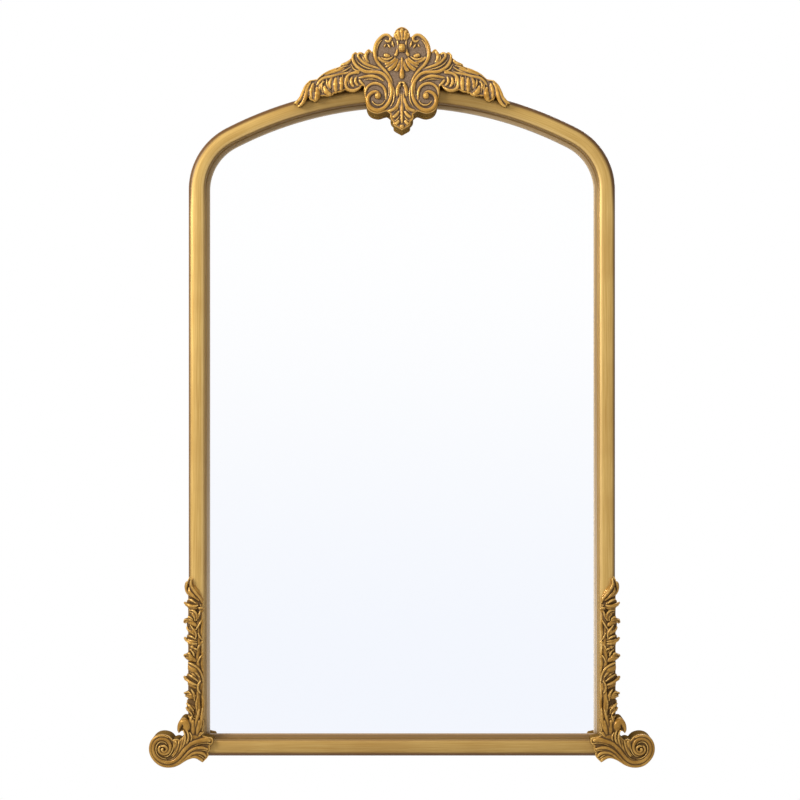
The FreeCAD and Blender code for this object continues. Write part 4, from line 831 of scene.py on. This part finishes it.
# %% Gilded castings
DEEP_GOLD, BRIGHT_GOLD, RUBBED_HIGHLIGHT_GOLD = colour(168, 118, 40), colour(196, 146, 64), colour(230, 188, 108)
DARK_WASH, PALE_WASH, LOWER_GROUND_BROWN = colour(116, 94, 72), colour(150, 126, 104), colour(108, 80, 42)
GROOVE_UMBER, LOWER_DARKENING, WALL_SHADE_BROWN = colour(58, 38, 16), colour(78, 54, 24), colour(108, 82, 40)
carving = Finish("gilded_carving", Specular_IOR_Level=0.0, Coat_Roughness=0.3)
spot = carving.place()
grain = carving.noise(spot, 900.0, 3.0)
patches = carving.noise(spot, 60.0, 3.0)
rise, edge, wall = carving.kept("rise"), carving.kept("edge"), carving.kept("wall")
ridge = (rise + grain * 0.16 + patches * 0.2).between(0.05, 0.45)
groove = 1 - (edge + grain * 0.05).between(-0.12, 0.0)
rubbed_highlight = (edge + grain * 0.06 - 0.03).between(0.04, 0.18)
# The ground, and then everything else, turns browner and darker towards the bottom.
low = 1 - carving.axis(spot, 2).between(-0.5, -0.2)
ground = (low * 0.8).mix(grain.between(0.3, 0.7).mix(DARK_WASH, PALE_WASH), LOWER_GROUND_BROWN)
washed = ridge.mix(ground, patches.between(0.3, 0.7).mix(DEEP_GOLD, BRIGHT_GOLD))
washed = (groove * 0.65).mix(washed, GROOVE_UMBER)
washed = (low * 0.36).mix(washed, LOWER_DARKENING)
# Pale gold on the sharpest ridge lines: rubbed wear and a painted highlight.
washed = (rubbed_highlight * ridge * 0.6).mix(washed, RUBBED_HIGHLIGHT_GOLD)
# Painted shade: the walls behind the ground are mixed towards a dull brown.
side = (wall + patches * 1.5).between(1.0, 3.6)
carving.feed("Base Color", (side * 0.9).mix(washed, WALL_SHADE_BROWN))
carving.feed("Roughness", 0.6 - ridge * 0.22)
carving.feed("Metallic", ridge * 0.35 * (1 - side))
carving.feed("Coat Weight", ridge * 0.25 * (1 - side))
carving.bump(grain, 0.25, 0.0003)
for casting in (crest, scroll, spray):
    casting.data.materials.append(carving.material)
print("carving", len(carving.tree.nodes), "nodes")

# %% Hand the castings over
hand_over(crest, "crest_casting")
hand_over(scroll, "corner_scroll_right")
hand_over(mirrored_copy(scroll, "carved_scroll_left"), "corner_scroll_left")
hand_over(spray, "leaf_spray_right")
hand_over(mirrored_copy(spray, "carved_spray_left"), "leaf_spray_left")

# %% [markdown]
# The glass is silvered, so it is a metal mirror with almost no roughness. A clear sheet over a silver
# one would do too, but it renders slowly and looks the same from the front. Real float glass is not
# perfect, so a very weak, very broad noise moves its roughness by a hair.

# %% Mirror glass
silver = Finish("silvered_glass", Metallic=1.0, Base_Color=(0.995, 0.997, 1.0, 1))
silver.feed("Roughness", silver.noise(silver.place(), 3.0, 1.0) * 0.012)


def finished(names, finish):
    """Gives one finish to solids that stay as they are."""
    for name in names:
        nodes[name].data.materials.clear()
        nodes[name].data.materials.append(finish.material)
    print(finish.material.name, "on", len(names), "solids")


finished(["mirror_glass"], silver)

# %% [markdown]
# Screws show their heads on the back, each with a cross recess. Bump could only hint at it, so a
# boolean cuts it: a grid of nine faces is squeezed, loses its corners to become a cross, is extruded
# and narrowed towards its foot, and one copy is set over every screw of a solid.

# %% Cross recess
RECESS_REACH, RECESS_ARM, RECESS_DEPTH = 1.7, 0.42, 1.1
RECESS_OVER, RECESS_TAPER = 0.2, 0.55
HEAD_SHARP_FROM = math.radians(35)


def cross_cutter():
    """Cross-shaped wedge that points along -Y from the origin."""
    bpy.ops.object.select_all(action="DESELECT")
    bpy.ops.mesh.primitive_grid_add(x_subdivisions=3, y_subdivisions=3, size=2 * RECESS_REACH * MM,
                                    rotation=(math.pi / 2, 0, 0))
    cutter = bpy.context.object
    bpy.ops.object.transform_apply(rotation=True)
    for vertex in cutter.data.vertices:
        for axis in (0, 2):
            if abs(vertex.co[axis]) < 0.5 * RECESS_REACH * MM:
                vertex.co[axis] = math.copysign(RECESS_ARM * MM, vertex.co[axis])
    corner = [face.index for face in cutter.data.polygons
              if min(abs(face.center.x), abs(face.center.z)) > RECESS_ARM * MM]
    edit_all(cutter)
    bpy.ops.mesh.select_all(action="DESELECT")
    leave_edit()
    for index in corner:
        cutter.data.polygons[index].select = True
    bpy.ops.object.mode_set(mode="EDIT")
    bpy.ops.mesh.select_mode(type="FACE")
    bpy.ops.mesh.delete(type="FACE")
    bpy.ops.mesh.select_all(action="SELECT")
    bpy.ops.transform.translate(value=(0, RECESS_OVER * MM, 0))
    inward = (0, -(RECESS_DEPTH + RECESS_OVER) * MM, 0)
    bpy.ops.mesh.extrude_region_move(TRANSFORM_OT_translate={"value": inward})
    bpy.ops.transform.resize(value=(RECESS_TAPER, 1, RECESS_TAPER))
    bpy.ops.mesh.select_all(action="SELECT")
    bpy.ops.mesh.normals_make_consistent(inside=False)
    leave_edit()
    return cutter


# %% Cut the recess into every head
def loose_heads(piece):
    """Middle of each loose part's rear end."""
    points = coordinates(piece.data)
    owner = np.arange(len(points))
    first, second = edge_ends(piece.data)
    while True:
        least = np.minimum(owner[first], owner[second])
        before = owner.copy()
        np.minimum.at(owner, first, least)
        np.minimum.at(owner, second, least)
        if (owner == before).all():
            break
    heads = []
    for part in np.unique(owner):
        own = points[owner == part]
        middle = (own.min(0) + own.max(0)) / 2
        heads.append(Vector((middle[0], own[:, 1].max(), middle[2])) * MM)
    return heads


def recessed(node, name):
    """Screws of one solid, each with a cross recess."""
    screws = merged_copy(node, name)
    heads = loose_heads(screws)
    cutter = cross_cutter()
    cutter.data.transform(Matrix.Translation(heads[0]))
    edit_all(cutter)
    for last, head in zip(heads, heads[1:]):
        bpy.ops.mesh.duplicate_move(TRANSFORM_OT_translate={"value": head - last})
    leave_edit()
    applied(screws, "BOOLEAN", operation="DIFFERENCE", solver="EXACT", object=cutter)
    bpy.data.objects.remove(cutter)
    only(screws)
    bpy.ops.object.shade_smooth_by_angle(angle=HEAD_SHARP_FROM)
    print(name, "heads", len(heads))
    return screws


# %% [markdown]
# All the steel on the back is zinc plated: pale, faintly bluish, with cloudy patches and fine
# scratches from tumbling. A plain grey metal would look new and flat, so a noise that is stretched
# hard one way gives the scratches.

# %% Zinc plated steel
zinc = Finish("zinc_plate", Metallic=1.0)
spot = zinc.place()
cloud = zinc.noise(spot, 220.0, 3.0)
scratch = zinc.noise(zinc.stretched(spot, (3000.0, 3000.0, 260.0)), 1.0, 2.0)
zinc.feed("Base Color", cloud.between(0.3, 0.7).mix(colour(176, 178, 182), colour(206, 206, 204)))
zinc.feed("Roughness", 0.26 + cloud * 0.14 + scratch * 0.1)
zinc.bump(scratch, 0.08, 0.0001)

for node in ("turn_button_screws", "hanger_screws", "corner_plate_screws", "casting_screws"):
    screws = recessed(node, "crossed_" + node)
    screws.data.materials.append(zinc.material)
    hand_over(screws, node)
finished([name for name in nodes if name.startswith(("turn_button_", "hanger_", "corner_plate_"))
          and "screws" not in name], zinc)

# %% [markdown]
# Behind the glass lie a soft white sheet and a brown hardboard, and rubber bumpers keep the foot
# off the wall. Their solids are already the whole shape, so they only take a finish. Hardboard is
# pressed fibre: short flecks in two directions over a warm brown.

# %% Board, sheet, dowels and bumpers
hardboard = Finish("hardboard", Specular_IOR_Level=0.3)
spot = hardboard.place()
fibre = hardboard.noise(hardboard.stretched(spot, (420.0, 420.0, 140.0)), 1.0, 5.0, 0.7)
fleck = hardboard.noise(hardboard.stretched(spot, (150.0, 400.0, 480.0)), 1.0, 4.0, 0.7)
brown = fibre.between(0.3, 0.7).mix(colour(104, 74, 48), colour(146, 108, 72))
hardboard.feed("Base Color", fleck.between(0.6, 0.78).mix(brown, colour(76, 50, 30)))
hardboard.feed("Roughness", 0.7 + fibre * 0.2)
hardboard.bump(fibre + fleck, 0.3, 0.0003)
finished(["back_board"], hardboard)

felt = Finish("soft_sheet", Specular_IOR_Level=0.2)
hair = felt.noise(felt.place(), 700.0, 4.0)
felt.feed("Base Color", hair.mix(colour(205, 200, 190), colour(238, 235, 228)))
felt.feed("Roughness", 0.8 + hair * 0.15)
finished(["cushion_sheet"], felt)

beech = Finish("beech", Specular_IOR_Level=0.3)
grain_lines = beech.noise(beech.stretched(beech.place(), (900.0, 900.0, 60.0)), 1.0, 3.0)
beech.feed("Base Color", grain_lines.mix(colour(170, 128, 84), colour(214, 176, 128)))
beech.feed("Roughness", 0.55 + grain_lines * 0.2)
finished(["joint_dowels"], beech)

rubber = Finish("bumper_rubber", Specular_IOR_Level=0.4)
pores = rubber.noise(rubber.place(), 1500.0, 2.0)
rubber.feed("Base Color", pores.mix(colour(24, 24, 25), colour(44, 43, 42)))
rubber.feed("Roughness", 0.6 + pores * 0.25)
rubber.bump(pores, 0.2, 0.0002)
finished(["wall_bumpers"], rubber)

# %% [markdown]
# The mirror hangs in a white studio. The floor is pale and lies well below it, and the world is
# white to the camera and to reflections, a little bluer low down, while the light it sheds on the
# gold is softer. A closed white room would do too, but would take more light paths. Four large lamps
# model the moulding, the strongest of them from the upper left.

# %% Floor and world
FLOOR_SIZE, FLOOR_PLACE = 2.4, (0, -0.2, -1.1)
WHITE = (1, 1, 1, 1)
bpy.ops.object.select_all(action="DESELECT")
bpy.ops.mesh.primitive_plane_add(size=FLOOR_SIZE, location=(0, 0, 0))
floor = bpy.context.object
floor.name = "floor"
floor.data.transform(Matrix.Translation(FLOOR_PLACE))
pale = Finish("pale_floor", Specular_IOR_Level=0.2, Roughness=0.8)
pale.feed("Base Color", pale.noise(pale.place(), 2.0, 2.0).mix(colour(240, 240, 241), colour(246, 246, 246)))
floor.data.materials.append(pale.material)

world = bpy.data.worlds.new("studio")
bpy.context.scene.world = world
world.use_nodes = True
air = Tone(world.node_tree, None)
upward = air.node("ShaderNodeSeparateXYZ", None, {0: air.node("ShaderNodeTexCoord")}, output=2)
seen_in_glass = upward.between(-0.18, 0.12).mix((0.905, 0.93, 0.99, 1), WHITE)
is_camera = air.node("ShaderNodeLightPath", output=0)
is_glossy = air.node("ShaderNodeLightPath", output=3)
is_through = air.node("ShaderNodeLightPath", output=6)
seen = is_camera.mix(seen_in_glass, WHITE)
shown = air.node("ShaderNodeBackground", None, {"Color": seen, "Strength": 1.0})
shed = air.node("ShaderNodeBackground", None, {"Color": (0.93, 0.95, 1.0, 1), "Strength": 0.5})
direct = air.sum("MAXIMUM", is_camera, air.sum("MAXIMUM", is_glossy, is_through))
both = air.node("ShaderNodeMixShader", None, {0: direct, 1: shed, 2: shown})
world.node_tree.links.new(both.socket, world.node_tree.nodes["World Output"].inputs["Surface"])
print("floor and world set")

# %% Lamps
MIDDLE = Vector((0, 0, -0.17))


def soft_lamp(name, place, size, power):
    """Large square lamp that faces the middle of the mirror."""
    lamp = bpy.data.lights.new(name, "AREA")
    lamp.size = size
    lamp.energy = power
    holder = bpy.data.objects.new(name, lamp)
    bpy.context.scene.collection.objects.link(holder)
    holder.location = place
    holder.rotation_euler = (MIDDLE - Vector(place)).to_track_quat("-Z", "Y").to_euler()


soft_lamp("key_upper_left", (-1.6, -1.05, 0.65), size=0.55, power=40.0)
soft_lamp("fill_right", (1.7, -1.5, 0.0), size=1.0, power=1.5)
soft_lamp("top", (0.0, -0.5, 1.7), size=0.8, power=8.0)
soft_lamp("behind", (0.6, 2.0, 0.9), size=1.2, power=30.0)
print("lamps", len(bpy.data.lights))

# %% [markdown]
# The camera stands straight in front, about two metres away and near the middle of the mirror's
# height. Its lens is chosen so that the stiles fall where the photograph has them.

# %% Camera
CAMERA_DISTANCE = 2.1
HALF_VIEW = 0.4927
EDGE_PLANE = 0.024
CAMERA_X, CAMERA_Z = -0.0023, -0.1808
lens = bpy.data.cameras.new("viewer")
lens.sensor_width = 36.0
lens.lens = 0.5 * lens.sensor_width * (CAMERA_DISTANCE - EDGE_PLANE) / HALF_VIEW
viewer = bpy.data.objects.new("viewer", lens)
bpy.context.scene.collection.objects.link(viewer)
viewer.location = (CAMERA_X, -CAMERA_DISTANCE, CAMERA_Z)
viewer.rotation_euler = (math.pi / 2, 0, 0)
bpy.context.scene.camera = viewer
bpy.context.scene.view_settings.view_transform = "Standard"
print("lens", round(lens.lens, 1))
